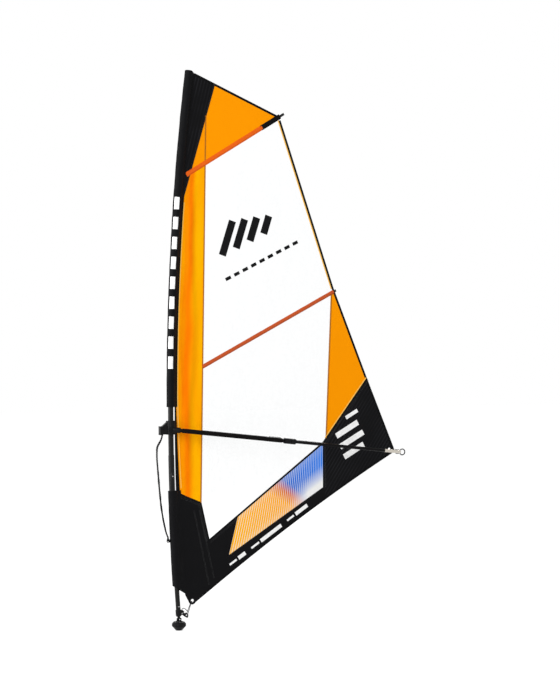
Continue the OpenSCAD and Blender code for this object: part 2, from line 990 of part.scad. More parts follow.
// Tape folded over an edge: a strip on each face, w wide, to the right of the way it runs
function edge_normal(p, i) =
  let (
    a = i > 0 ? unit(p[i] - p[i - 1]) : unit(p[1] - p[0]),
    b = i < len(p) - 1 ? unit(p[i + 1] - p[i]) : a,
    d = unit(a + b)
  )
    [d[1], -d[0]];
function strip(p, w) = concat(p, [
  for (i = [len(p) - 1:-1:0]) p[i] + w * edge_normal(p, i)
]);

module folded_tape(route) {
  for (side = [-1, 1])
    translate([0, side * (cloth_t + tape_t) / 2, 0])
      sheet(strip(route, tape_w), tape_t);
}

module edge_tape() {
  clear = pocket_w * tape_clear;
  upper_cut = peak + unit(leech_mid - peak) * clear;
  lower_cut = batten_2_end - unit(batten_2_end - peak) * clear;
  lower_go = batten_2_end + unit(leech_low - batten_2_end) * clear;
  color(black) {
    folded_tape([mix(head, peak, head_tape_from), mix(head, peak, head_tape_to)]);
    folded_tape([upper_cut, lower_cut]);
    folded_tape([lower_go, leech_low, clew_up]);
  }
}

module foot_tape() {
  color(black)
    folded_tape(foot_run(foot_tape_from, foot_tape_to, 16));
}

// Metal eyelets at the tack and the clew
module eyelets() {
  half = eyelet_t / 2;
  grip = cloth_t / 2;
  color(steel)
    for (at = [tack, clew_eye])
      translate([at[0], 0, at[1]])
        rotate([90, 0, 0])
          rotate_extrude()
            polygon([
              [eyelet_bore, -half], [eyelet_r, -half], [eyelet_r, -grip], [eyelet_core, -grip],
              [eyelet_core, grip], [eyelet_r, grip], [eyelet_r, half], [eyelet_bore, half]
            ]);
}

module uphaul_loop() {
  color(black) {
    translate([loop_at[0], 0, loop_at[1]])
      rotate([90, 0, 0])
        rotate_extrude()
          translate([loop_r, 0])
            circle(loop_wire, $fn = 24);
    difference() {
      translate([loop_at[0] + loop_r - 1, -loop_tab_w / 2, loop_at[1] - loop_tab_h / 2])
        cube([2 * loop_tab, loop_tab_w, loop_tab_h]);
      on_mast(mast_s(loop_z) - loop_tab_h)
        cylinder(r = sleeve_front + seat_gap, h = 2 * loop_tab_h);
    }
  }
}

// Boom: the frame starts at the mast's axis, with x along the boom

module on_boom() {
  on_mast(boom_s)
    rotate([0, boom_drop - mast_lean(boom_s), 0])
      children();
}

module bend_xy(centre, r, a0, a1) {
  translate([centre[0], centre[1], 0])
    rotate([0, 0, a0])
      rotate_extrude(angle = a1 - a0, $fn = 360)
        translate([r, 0])
          children();
}

module straight_x(x0, x1, y) {
  translate([x0, y, 0])
    rotate([90, 0, 90])
      linear_extrude(x1 - x0)
        children();
}

// Arm of the wishbone, from an angle past its socket to a point on its straight end
module arm_path(skip, x_end) {
  bend_xy(bow_centre, bow_r, 90, 90 + bow_angle - skip)
    children();
  straight_x(arm_straight, x_end, tail_y)
    children();
}

module both_sides() {
  children();
  mirror([0, 1, 0])
    children();
}

module boom_arms() {
  color(black)
    on_boom()
      both_sides()
        arm_path(0, arm_reach)
          ring2d(arm_r, arm_r - boom_wall);
}

module boom_grips() {
  color(rubber)
    on_boom()
      both_sides()
        arm_path(grip_start, arm_reach - grip_end)
          ring2d(arm_r + grip_t, arm_r);
}

// Clamp around the mast, with a nose in front and a socket for each arm
module boom_head() {
  color(black)
    difference() {
      union() {
        on_mast(boom_s) {
          translate([0, 0, head_low])
            cylinder(r = head_r, h = head_h);
          sheet([
            [nose_root, nose_low], [nose_x + nose_chin, nose_low], [nose_x, nose_low + nose_chin],
            [nose_x, nose_top - 22], [nose_x + 4, nose_top - 6], [nose_x + nose_chin, nose_top],
            [nose_root, head_top - head_slope]
          ], 2 * nose_half);
        }
        on_boom() {
          cube([bridge_l, 2 * arm_y, bridge_h], center = true);
          both_sides()
            translate([arm_x, arm_y, 0])
              rotate([0, 90, bow_angle])
                translate([0, 0, -socket_back])
                  cylinder(r = arm_r + socket_wall, h = socket_l + socket_back);
        }
      }
      on_mast(boom_s) {
        cylinder(r = head_bore, h = 2 * head_h, center = true);
        translate([head_back, -head_r, -head_h])
          cube([head_r, 2 * head_r, 2 * head_h]);
        across(cam_pin, cam_pin_r, -2 * nose_half, 2 * nose_half);
        translate([uphaul_hole_x, 0, nose_low - 1])
          cylinder(r = uphaul_r + slide_gap, h = uphaul_hole_l);
      }
      on_boom()
        both_sides()
          bend_xy(bow_centre, bow_r, 90 + bow_angle - socket_sweep, 90 + bow_angle)
            circle(arm_r);
    }
}

module mast_liner() {
  color(rubber)
    on_mast(boom_s)
      translate([0, 0, head_low])
        difference() {
          cylinder(r = head_bore, h = head_h);
          translate([0, 0, -1])
            cylinder(r = liner_in, h = head_h + 2);
        }
}

// Lever that straddles the nose and swings forward to free the clamp
module clamp_lever() {
  inner = nose_half + slide_gap;
  outer = inner + cam_cheek;
  front = nose_x - 1;
  back = front - cam_plate;
  color(black)
    on_mast(boom_s)
      difference() {
        union() {
          for (side = [-1, 1])
            translate([0, side * (inner + cam_cheek / 2), 0]) {
              across(cam_pin, cam_knuckle, -cam_cheek / 2, cam_cheek / 2);
              sheet([
                [cam_pin[0] + cam_knuckle / 2, cam_pin[1] - cam_knuckle],
                [back, cam_pin[1] + cam_knuckle], [back, cam_low + cam_slot_h],
                [front + 2, cam_low + cam_slot_h]
              ], cam_cheek);
            }
          sheet([
            [back, cam_pin[1] + cam_knuckle], [back, cam_low], [front, cam_low], [front, cam_pin[1]]
          ], 2 * outer);
          across(cam_pin, cam_pin_r - run_gap, -outer, outer);
        }
        translate([back - 4, -cam_slot_w / 2, cam_low + 4])
          cube([2 * cam_plate, cam_slot_w, cam_slot_h]);
      }
}

// Collars that close the arms onto the tail legs, each with lugs for a lever
module arm_collar() {
  outer = arm_r + collar_wall;
  start = arm_reach + collar_lip - collar_l;
  straight_x(start, arm_reach, tail_y)
    ring2d(outer, arm_r);
  straight_x(arm_reach, arm_reach + collar_lip, tail_y)
    ring2d(outer, tail_r + slide_gap);
  for (side = [-1, 1])
    translate([lever_x, 0, side * (lever_h / 2 + slide_gap + lug_t / 2)]) {
      translate([0, lever_y, 0])
        cylinder(r = lever_knuckle, h = lug_t, center = true);
      translate([-lever_knuckle, tail_y + outer - lug_root, -lug_t / 2])
        cube([2 * lever_knuckle, lever_y - tail_y - outer + lug_root, lug_t]);
    }
  translate([lever_x, lever_y, 0])
    cylinder(r = lever_pin_r, h = lever_h + 2 * lug_t, center = true);
}

module arm_collars() {
  color(black)
    on_boom()
      both_sides()
        arm_collar();
}

module tail_lever() {
  difference() {
    union() {
      translate([lever_x, lever_y, 0])
        cylinder(r = lever_knuckle, h = lever_h, center = true);
      translate([lever_x, lever_y - 2, -lever_h / 2])
        cube([lever_l, lever_knuckle + 2, lever_h]);
      translate([lever_x + lever_l, lever_y, 0])
        cylinder(r = lever_knuckle, h = lever_h, center = true);
    }
    translate([lever_x, lever_y, 0])
      cylinder(r = lever_pin_r + run_gap, h = lever_h + 2, center = true);
  }
}

module tail_lever_port() {
  color(black)
    on_boom()
      tail_lever();
}

module tail_lever_starboard() {
  color(black)
    on_boom()
      mirror([0, 1, 0])
        tail_lever();
}

// Sliding tail: two legs joined by a bare metal yoke around the clew
module tail_legs() {
  color(black)
    on_boom()
      both_sides()
        straight_x(arm_reach - leg_overlap, yoke_start, tail_y)
          ring2d(tail_r, tail_r - boom_wall);
}

module tail_yoke() {
  color(steel)
    on_boom() {
      both_sides()
        straight_x(yoke_start, yoke_centre, tail_y)
          ring2d(tail_r, tail_r - boom_wall);
      bend_xy([yoke_centre, 0], tail_y, -90, 90)
        ring2d(tail_r, tail_r - boom_wall);
      difference() {
        translate([yoke_x + tail_r - 2, -ring_lug_w / 2, -ring_lug_t / 2])
          cube([ring_lug_l, ring_lug_w, ring_lug_t]);
        translate([ring_x, 0, 0])
          cylinder(r = ring_hole, h = ring_lug_t + 2, center = true);
      }
    }
}

module tail_ring() {
  color(black)
    on_boom()
      translate([ring_x + ring_r, 0, 0])
        rotate([90, 0, 0])
          rotate_extrude()
            translate([ring_r, 0])
              circle(ring_wire, $fn = 32);
}

// Outhaul: a loop through the clew eyelet and round the yoke
outhaul_y = eyelet_t / 2 + line_r + 0.6;
outhaul_wrap = tail_r + line_r + 0.4;
yoke_at = [
  mast_x(boom_z) + yoke_x * cos(boom_drop),
  boom_z - yoke_x * sin(boom_drop)
];
outhaul_points = [
  [clew_eye[0] + 4, 0, clew_eye[1] - 2],
  [clew_eye[0] + 7, -outhaul_y * 0.7, clew_eye[1] - 3],
  [clew_eye[0] + 16, -outhaul_y, clew_eye[1] - 2],
  [clew[0] - 4, -outhaul_y, clew[1] + 6],
  [yoke_at[0] - 9, -outhaul_y, yoke_at[1] + outhaul_wrap * 0.92],
  [yoke_at[0] + 5, -outhaul_y, yoke_at[1] + outhaul_wrap * 0.97],
  [yoke_at[0] + outhaul_wrap * 0.5, -12.5, yoke_at[1] + outhaul_wrap * 0.88],
  [yoke_at[0] + outhaul_wrap * 1.05, -14, yoke_at[1]],
  [yoke_at[0] + outhaul_wrap * 0.5, -12.5, yoke_at[1] - outhaul_wrap * 0.9],
  [yoke_at[0] - 4, -4, yoke_at[1] - outhaul_wrap * 1.05],
  [yoke_at[0] - 14, 4, yoke_at[1] - outhaul_wrap * 0.85],
  [clew[0] - 4, outhaul_y, clew[1] - 12],
  [clew_eye[0] + 20, outhaul_y, clew_eye[1] - 8],
  [clew_eye[0] + 10, outhaul_y, clew_eye[1] - 5]
];

module outhaul_line() {
  color(black)
    tube_along(smooth(outhaul_points, 3), line_r);
}

// Uphaul: hangs in a slack bow from the boom head to the loop on the sleeve
uphaul_top = [mast_x(boom_z) + uphaul_hole_x, boom_z];
uphaul_points = [
  [uphaul_top[0], 0, uphaul_top[1] - 22],
  [uphaul_top[0] - 1, 0, uphaul_top[1] - 44],
  [uphaul_top[0] - 12, 0, uphaul_top[1] - 80],
  [-177, 0, 1415],
  [-181, 0, 1370],
  [-180, 0, 1315],
  [-175, 0, 1255],
  [-170, 0, 1200],
  [-165, 0, 1140],
  [-160, 0, 1085],
  [-154, 0, 1030],
  [-148, 0, 970],
  [-139, 0, 910],
  [-129, 0, 854],
  [-117, 0, 800],
  [-105, 0, 753],
  [loop_at[0] - 3, 0, loop_at[1] + loop_r + loop_wire + uphaul_r + 10],
  [loop_at[0], 0, loop_at[1] + loop_r + loop_wire + 0.3]
];

module uphaul_line() {
  color(black)
    tube_along(smooth(uphaul_points, 3), uphaul_r);
}

base_disc();
deck_pad();
board_stud();
lower_fork();
roll_pin();
joint_cross();
pitch_pins();
upper_fork();
foot_cup();
release_button();
pulley_axle();
downhaul_sheave();
downhaul_cleat();
downhaul_line();
extension_tube();
extension_collar();
extension_button();
mast_section_1();
mast_section_2();
mast_section_3();
mast_section_4();
mast_cap();
mast_button_1();
mast_button_2();
mast_button_3();
luff_sleeve_upper();
luff_sleeve_lower();
cutout_hem();
head_patch();
head_panel();
luff_panel();
window_upper();
window_lower();
leech_panel();
clew_panel();
tack_panel();
foot_band();
print_panel();
batten_pocket_upper();
batten_upper();
batten_pocket_lower();
batten_lower();
edge_tape();
foot_tape();
eyelets();
uphaul_loop();
boom_head();
mast_liner();
clamp_lever();
boom_arms();
boom_grips();
arm_collars();
tail_lever_port();
tail_lever_starboard();
tail_legs();
tail_yoke();
tail_ring();
outhaul_line();
uphaul_line();
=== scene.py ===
# %% [markdown]
# # A windsurf sail rig
# The rig is already built as solids at its real size: mast foot, mast, sail, boom and lines. This lesson
# loads those solids as a fixed frame and gives them their looks. Metal and moulded plastic keep the shape
# of their solids. Everything sewn, such as panels, tapes, pockets and sleeves, is made again as cloth.

# %% Load the frame
import json
import math

import bpy
from mathutils import Matrix, Vector, noise
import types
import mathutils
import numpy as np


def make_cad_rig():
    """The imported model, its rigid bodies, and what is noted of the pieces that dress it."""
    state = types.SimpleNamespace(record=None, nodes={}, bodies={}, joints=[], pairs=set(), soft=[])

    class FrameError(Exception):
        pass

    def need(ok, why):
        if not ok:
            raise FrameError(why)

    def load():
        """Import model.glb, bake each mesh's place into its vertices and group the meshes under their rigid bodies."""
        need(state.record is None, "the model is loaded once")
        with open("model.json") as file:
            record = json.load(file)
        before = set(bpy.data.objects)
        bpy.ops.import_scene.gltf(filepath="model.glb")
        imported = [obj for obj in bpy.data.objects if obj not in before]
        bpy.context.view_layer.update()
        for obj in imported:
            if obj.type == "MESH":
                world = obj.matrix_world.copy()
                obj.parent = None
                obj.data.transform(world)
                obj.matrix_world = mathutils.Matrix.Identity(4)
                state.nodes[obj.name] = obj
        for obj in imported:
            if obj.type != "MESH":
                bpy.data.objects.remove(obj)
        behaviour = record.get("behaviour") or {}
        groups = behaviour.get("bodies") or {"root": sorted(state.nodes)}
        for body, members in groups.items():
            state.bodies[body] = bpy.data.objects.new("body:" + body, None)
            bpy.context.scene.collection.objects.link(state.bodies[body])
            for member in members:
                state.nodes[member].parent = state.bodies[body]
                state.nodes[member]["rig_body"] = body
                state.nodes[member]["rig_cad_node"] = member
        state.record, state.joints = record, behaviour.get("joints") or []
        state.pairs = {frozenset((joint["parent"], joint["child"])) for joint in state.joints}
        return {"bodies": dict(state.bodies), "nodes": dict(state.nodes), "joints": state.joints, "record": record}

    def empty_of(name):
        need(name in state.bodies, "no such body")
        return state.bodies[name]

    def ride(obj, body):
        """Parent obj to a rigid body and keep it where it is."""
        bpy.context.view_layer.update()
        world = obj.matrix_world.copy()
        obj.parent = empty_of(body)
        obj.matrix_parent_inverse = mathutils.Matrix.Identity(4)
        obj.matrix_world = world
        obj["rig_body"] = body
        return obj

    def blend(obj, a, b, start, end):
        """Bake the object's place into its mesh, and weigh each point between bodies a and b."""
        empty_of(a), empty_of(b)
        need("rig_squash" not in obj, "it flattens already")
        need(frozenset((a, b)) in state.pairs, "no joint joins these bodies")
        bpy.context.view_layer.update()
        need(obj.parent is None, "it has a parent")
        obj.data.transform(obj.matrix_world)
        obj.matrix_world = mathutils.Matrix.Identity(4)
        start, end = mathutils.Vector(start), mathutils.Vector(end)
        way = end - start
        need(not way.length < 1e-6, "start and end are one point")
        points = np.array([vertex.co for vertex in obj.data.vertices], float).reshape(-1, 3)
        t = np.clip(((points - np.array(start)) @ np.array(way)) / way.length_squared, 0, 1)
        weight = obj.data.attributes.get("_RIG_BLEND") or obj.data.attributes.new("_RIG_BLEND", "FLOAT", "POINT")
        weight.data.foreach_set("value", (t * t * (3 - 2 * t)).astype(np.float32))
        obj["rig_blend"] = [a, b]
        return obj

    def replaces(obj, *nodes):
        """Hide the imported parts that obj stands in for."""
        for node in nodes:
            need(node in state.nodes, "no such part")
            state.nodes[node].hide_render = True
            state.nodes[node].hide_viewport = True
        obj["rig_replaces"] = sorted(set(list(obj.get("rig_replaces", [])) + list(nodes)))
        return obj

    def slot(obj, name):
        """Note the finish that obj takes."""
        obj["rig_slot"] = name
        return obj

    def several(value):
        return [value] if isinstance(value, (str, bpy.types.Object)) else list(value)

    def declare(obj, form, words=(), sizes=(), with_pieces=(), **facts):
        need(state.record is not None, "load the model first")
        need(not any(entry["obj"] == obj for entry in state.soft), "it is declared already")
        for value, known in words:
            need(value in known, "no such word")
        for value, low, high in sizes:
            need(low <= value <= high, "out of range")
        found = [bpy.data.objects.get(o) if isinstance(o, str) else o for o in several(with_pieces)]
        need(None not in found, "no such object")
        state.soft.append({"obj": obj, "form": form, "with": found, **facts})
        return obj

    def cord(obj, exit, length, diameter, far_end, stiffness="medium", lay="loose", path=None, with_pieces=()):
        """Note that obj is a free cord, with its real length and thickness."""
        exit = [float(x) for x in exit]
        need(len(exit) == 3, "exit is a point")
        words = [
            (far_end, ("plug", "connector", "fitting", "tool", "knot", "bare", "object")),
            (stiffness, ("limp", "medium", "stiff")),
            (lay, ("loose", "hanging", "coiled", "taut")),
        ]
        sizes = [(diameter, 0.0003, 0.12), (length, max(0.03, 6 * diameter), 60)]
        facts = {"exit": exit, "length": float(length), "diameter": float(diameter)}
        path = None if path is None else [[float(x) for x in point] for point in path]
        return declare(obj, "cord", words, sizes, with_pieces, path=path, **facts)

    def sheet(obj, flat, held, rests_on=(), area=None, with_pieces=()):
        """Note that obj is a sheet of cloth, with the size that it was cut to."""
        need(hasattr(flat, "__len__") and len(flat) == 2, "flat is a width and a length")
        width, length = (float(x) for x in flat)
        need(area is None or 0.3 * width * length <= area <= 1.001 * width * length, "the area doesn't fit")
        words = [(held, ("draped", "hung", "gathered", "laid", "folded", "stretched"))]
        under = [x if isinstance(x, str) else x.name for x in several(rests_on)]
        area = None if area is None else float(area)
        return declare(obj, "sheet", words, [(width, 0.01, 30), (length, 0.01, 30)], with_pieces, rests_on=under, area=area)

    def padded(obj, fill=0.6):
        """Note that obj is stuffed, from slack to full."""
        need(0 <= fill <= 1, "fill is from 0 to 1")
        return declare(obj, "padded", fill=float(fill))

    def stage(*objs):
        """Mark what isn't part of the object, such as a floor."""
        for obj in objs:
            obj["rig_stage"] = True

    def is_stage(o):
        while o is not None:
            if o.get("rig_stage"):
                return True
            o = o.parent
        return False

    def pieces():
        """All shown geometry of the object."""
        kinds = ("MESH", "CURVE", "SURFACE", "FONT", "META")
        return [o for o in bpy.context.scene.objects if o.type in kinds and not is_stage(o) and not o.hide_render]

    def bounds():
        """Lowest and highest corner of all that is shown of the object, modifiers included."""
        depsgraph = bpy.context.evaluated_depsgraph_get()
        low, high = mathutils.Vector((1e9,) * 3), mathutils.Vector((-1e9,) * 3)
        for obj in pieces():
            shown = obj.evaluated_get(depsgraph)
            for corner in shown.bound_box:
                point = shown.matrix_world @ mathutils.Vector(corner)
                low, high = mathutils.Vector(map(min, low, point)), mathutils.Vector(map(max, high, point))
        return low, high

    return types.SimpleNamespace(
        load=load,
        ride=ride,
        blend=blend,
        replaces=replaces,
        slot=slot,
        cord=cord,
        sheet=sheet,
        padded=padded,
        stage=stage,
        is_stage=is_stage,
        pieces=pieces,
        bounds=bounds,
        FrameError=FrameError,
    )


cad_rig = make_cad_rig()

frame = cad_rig.load()
cad_low, cad_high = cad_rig.bounds()
nodes = frame["nodes"]
record = frame["record"]
joints = {joint["name"]: joint for joint in frame["joints"]}
body_of = {node: body for body, held in record["behaviour"]["bodies"].items() for node in held}
slot_of = {part["node"]: part["material_slot"] for part in record["subparts"]}
print("frame", len(nodes), "nodes, box", tuple(cad_low), tuple(cad_high))

# %% [markdown]
# A photograph fixes the camera first. This one is level, stands 12 m away and looks at the sail from 25
# degrees ahead of square. Blender spreads the 36 mm sensor over the long side of the picture, so a focal
# length in pixels becomes millimetres by their ratio.

# %% Camera
VIEW_TURN = math.radians(-25)
VIEW_DISTANCE = 12.0
VIEW_SIDE = 0.778
VIEW_HEIGHT = 2.157
FOCAL_PIXELS = 1558
PICTURE_TALL = 700
SENSOR_MM = 36

view_right = Vector((math.cos(VIEW_TURN), math.sin(VIEW_TURN), 0))
view_ahead = Vector((-math.sin(VIEW_TURN), math.cos(VIEW_TURN), 0))
stand = view_right * VIEW_SIDE - view_ahead * VIEW_DISTANCE + Vector((0, 0, VIEW_HEIGHT))
bpy.ops.object.camera_add(location=stand, rotation=(math.pi / 2, 0, VIEW_TURN))
camera = bpy.context.object
camera.data.sensor_width = SENSOR_MM
camera.data.lens = FOCAL_PIXELS * SENSOR_MM / PICTURE_TALL
bpy.context.scene.camera = camera
print("camera at", tuple(stand), "lens", round(camera.data.lens, 2))

# %% [markdown]
# Operators act on whatever is selected, so each step begins by picking one piece alone. These few helpers
# do the clicks that a modeller does all the time: pick a piece, enter edit mode, apply a modifier, and
# take a copy of a solid to work on. A loaded solid is loose triangles, so its copy is merged first.

# %% Helpers for work by hand
MERGE = 1e-6
ROUND_ANGLE = 60


def pick(piece):
    if bpy.context.object and bpy.context.object.mode == "EDIT":
        bpy.ops.object.mode_set(mode="OBJECT")
    bpy.ops.object.select_all(action="DESELECT")
    piece.select_set(True)
    bpy.context.view_layer.objects.active = piece


def edit(piece):
    pick(piece)
    bpy.ops.object.mode_set(mode="EDIT")
    bpy.ops.mesh.select_mode(type="FACE")


def leave():
    bpy.ops.object.mode_set(mode="OBJECT")


def on_all(piece, operator, **settings):
    """Runs one edit-mode operator on the whole piece."""
    edit(piece)
    bpy.ops.mesh.select_all(action="SELECT")
    operator(**settings)
    leave()


def merge(piece):
    on_all(piece, bpy.ops.mesh.remove_doubles, threshold=MERGE)


def face_out(piece):
    on_all(piece, bpy.ops.mesh.normals_make_consistent, inside=False)


def modify(piece, kind, **settings):
    pick(piece)
    modifier = piece.modifiers.new(kind.lower(), kind)
    for key, value in settings.items():
        setattr(modifier, key, value)
    bpy.ops.object.modifier_apply(modifier=modifier.name)


def smooth(piece, degrees):
    pick(piece)
    bpy.ops.object.shade_smooth_by_angle(angle=math.radians(degrees))


def copy_of(node, name):
    piece = bpy.data.objects.new(name, nodes[node].data.copy())
    bpy.context.scene.collection.objects.link(piece)
    merge(piece)
    return piece


def bent_grid(name, columns, rows, place, closed=False):
    """A grid whose every vertex is moved to place(u, v), with u across and v along from 0 to 1."""
    bpy.ops.object.select_all(action="DESELECT")
    bpy.ops.mesh.primitive_grid_add(x_subdivisions=columns, y_subdivisions=rows, size=1)
    piece = bpy.context.object
    piece.name = name
    for vertex in piece.data.vertices:
        vertex.co = place(vertex.co.x + 0.5, vertex.co.y + 0.5)
    if closed:
        merge(piece)
    face_out(piece)
    return piece


def join(name, pieces):
    pick(pieces[0])
    for part in pieces:
        part.select_set(True)
    bpy.ops.object.join()
    piece = bpy.context.object
    piece.name = name
    return piece


def dress(piece, material, like, replaced=(), between=None):
    """Gives a piece its finish. It rides with the solid that it is like, or bends between two bodies."""
    piece.data.materials.clear()
    piece.data.materials.append(material)
    if between:
        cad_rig.blend(piece, *between)
    else:
        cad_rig.ride(piece, body_of[like])
    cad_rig.slot(piece, slot_of[like])
    if replaced:
        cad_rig.replaces(piece, *replaced)
    print("piece", piece.name, len(piece.data.polygons), "faces")
    return piece


print("helpers ready")

# %% [markdown]
# The studio is a pale floor and soft light. The world is white to the camera, to mirrors and to clear
# film, so that the background stays white, but it lights the rig less than that. A wide lamp from the
# mast's side then shows the ripples of the cloth, away from where its gloss would mirror the lamp. One in
# line with the sail draws a bright line down the mast's front, and a weaker one behind lights the far face.

# %% Floor, lamps and world
FLOOR_DROP = 0.0008
FLOOR_SIZE = 80
FLOOR_SEEN = 0.16
FLOOR_GLOW = 0.875
FLOOR_LIT = 0.55
WORLD_FILL = 0.82


def tree_node(tree, kind, sockets=None, **settings):
    """A shader node with its settings, and its sockets set to values or linked to other sockets."""
    node = tree.nodes.new("ShaderNode" + kind)
    for key, value in settings.items():
        setattr(node, key, value)
    for key, value in (sockets or {}).items():
        if isinstance(value, bpy.types.NodeSocket):
            tree.links.new(value, node.inputs[key])
        else:
            node.inputs[key].default_value = value
    return node


def seen_directly(tree):
    """1 for rays from the camera, from mirrors and through clear film, and 0 for light on surfaces."""
    path = tree_node(tree, "LightPath").outputs
    both = tree_node(tree, "Math", {0: path["Is Camera Ray"], 1: path["Is Glossy Ray"]}, operation="MAXIMUM")
    last = tree_node(tree, "Math", {0: both.outputs[0], 1: path["Is Transmission Ray"]}, operation="MAXIMUM")
    return last.outputs[0]


def studio_floor():
    bpy.ops.object.select_all(action="DESELECT")
    bpy.ops.mesh.primitive_plane_add(size=FLOOR_SIZE, location=(0, 0, -FLOOR_DROP))
    floor = bpy.context.object
    floor.name = "studio_floor"
    bpy.ops.object.transform_apply(location=True)
    material = bpy.data.materials.new("studio_floor")
    material.use_nodes = True
    tree = material.node_tree
    tree.nodes.clear()
    paint = tree_node(tree, "BsdfDiffuse", {"Color": (FLOOR_SEEN, FLOOR_SEEN, FLOOR_SEEN, 1)})
    glow = tree_node(tree, "Emission", {"Color": (1, 1, 1, 1), "Strength": FLOOR_GLOW})
    lit = tree_node(tree, "AddShader", {0: paint.outputs[0], 1: glow.outputs[0]})
    plain = tree_node(tree, "BsdfDiffuse", {"Color": (FLOOR_LIT, FLOOR_LIT, FLOOR_LIT, 1)})
    shown = tree_node(tree, "MixShader", {0: seen_directly(tree), 1: plain.outputs[0], 2: lit.outputs[0]})
    tree_node(tree, "OutputMaterial", {"Surface": shown.outputs[0]})
    floor.data.materials.append(material)
    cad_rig.stage(floor)


def soft_lamp(name, place, target, size, watts):
    bpy.ops.object.light_add(type="AREA", location=place)
    lamp = bpy.context.object
    lamp.name = name
    lamp.data.size = size
    lamp.data.energy = watts
    lamp.rotation_euler = (Vector(target) - Vector(place)).to_track_quat("-Z", "Y").to_euler()


def studio_world():
    world = bpy.data.worlds.new("studio")
    bpy.context.scene.world = world
    world.use_nodes = True
    tree = world.node_tree
    tree.nodes.clear()
    fill = tree_node(tree, "Background", {"Color": (1, 1, 1, 1), "Strength": WORLD_FILL})
    white = tree_node(tree, "Background", {"Color": (1, 1, 1, 1), "Strength": 1.0})
    shown = tree_node(tree, "MixShader", {0: seen_directly(tree), 1: fill.outputs[0], 2: white.outputs[0]})
    tree_node(tree, "OutputWorld", {"Surface": shown.outputs[0]})


studio_floor()
studio_world()
soft_lamp("key_lamp", (-6.5, -8.0, 6.5), (0.6, 0, 2.0), 8.0, 560)
soft_lamp("side_lamp", (-7.0, 0.5, 2.4), (0.0, 0, 1.8), 6.0, 520)
soft_lamp("back_lamp", (5.0, 8.0, 5.0), (0.5, 0, 2.2), 4.0, 420)
bpy.context.scene.view_settings.view_transform = "Standard"
print("studio ready")

# %% [markdown]
# Materials come next. Every finish starts as a Principled shader, and its colour, gloss and relief vary
# over the piece by Object coordinates, which stay put when the piece moves. A wave texture repeats every
# 0.314 / scale metres, so the helper takes the spacing of the threads in metres instead.

# %% Helpers for materials
WAVE_SPAN = 0.314159


def finish(name, colour, roughness, **sockets):
    material = bpy.data.materials.new(name)
    material.use_nodes = True
    shader = material.node_tree.nodes["Principled BSDF"]
    shader.inputs["Base Color"].default_value = (*colour, 1)
    shader.inputs["Roughness"].default_value = roughness
    for key, value in sockets.items():
        shader.inputs[key.replace("_", " ")].default_value = value
    return material, material.node_tree, shader


def object_place(tree):
    return tree_node(tree, "TexCoord").outputs["Object"]


def cloud(tree, place, scale, detail=4.0, rough=0.55, stretch=(1, 1, 1)):
    moved = tree_node(tree, "Mapping", {"Vector": place, "Scale": stretch})
    return tree_node(tree, "TexNoise", {
        "Vector": moved.outputs[0], "Scale": scale, "Detail": detail, "Roughness": rough,
    }).outputs["Fac"]


def threads(tree, place, spacing, direction):
    return tree_node(
        tree, "TexWave", {"Vector": place, "Scale": WAVE_SPAN / spacing}, bands_direction=direction,
    ).outputs["Fac"]


def remap(tree, value, low, high, to_low, to_high):
    return tree_node(tree, "MapRange", {
        "Value": value, "From Min": low, "From Max": high, "To Min": to_low, "To Max": to_high,
    }).outputs["Result"]


def sums(tree, operation, first, second):
    return tree_node(tree, "Math", {0: first, 1: second}, operation=operation).outputs[0]


def blended(tree, factor, first, second):
    """A colour between two others, each a socket or an (r, g, b) triple."""
    mix = tree_node(tree, "Mix", {0: factor}, data_type="RGBA")
    for index, value in ((6, first), (7, second)):
        if isinstance(value, bpy.types.NodeSocket):
            tree.links.new(value, mix.inputs[index])
        else:
            mix.inputs[index].default_value = (*value, 1)
    return mix.outputs[2]


def feed(tree, shader, **sockets):
    """Links outputs of other nodes to the shader's sockets."""
    for key, output in sockets.items():
        tree.links.new(output, shader.inputs[key.replace("_", " ")])


def relief(tree, shader, height, depth):
    bump = tree_node(tree, "Bump", {"Height": height, "Distance": depth, "Strength": 1.0})
    feed(tree, shader, Normal=bump.outputs[0])


def tint(shade, factor):
    return tuple(min(channel * factor, 1.0) for channel in shade)


print("material helpers ready")

# %% [markdown]
# Sail cloth is a tight polyester weave filled with resin. From a step away it looks plain, but a ripstop grid of
# thicker threads catches the light, which is painted as lighter lines, a painted highlight; the dye is a little
# uneven, and handling leaves fold marks. All woven panels share this recipe. A rippled panel also has the shade and
# light of its folds painted into its colour: it blends a shaded and a lit colour by a point attribute. The patches at
# the head and the clew have leaning ribs, where cords run through the cloth along the pull.

# %% Woven cloth
ORANGE = (0.94, 0.30, 0.0)
ORANGE_FOLD_SHADE = (0.93, 0.17, 0.0)
ORANGE_FOLD_LIT = (0.96, 0.43, 0.0)
BLACK = (0.0036, 0.0036, 0.0042)
POCKET_RED = (0.74, 0.115, 0.008)
POCKET_DARK = (0.50, 0.085, 0.022)
RIPSTOP = 0.0055
WEAVE = 0.0011
RIB_PITCH = 0.026
RIB_LIGHT = 4.5


def ribs(tree, place, lean):
    """Thin lines that lean by an angle from upright, a bit uneven."""
    turned = tree_node(tree, "Mapping", {"Vector": place, "Rotation": (0, lean, 0)}).outputs[0]
    line = sums(tree, "POWER", threads(tree, turned, RIB_PITCH, "X"), 4.0)
    return sums(tree, "MULTIPLY", line, remap(tree, cloud(tree, place, 4.0, 3.0), 0.35, 0.65, 0.15, 1.0))


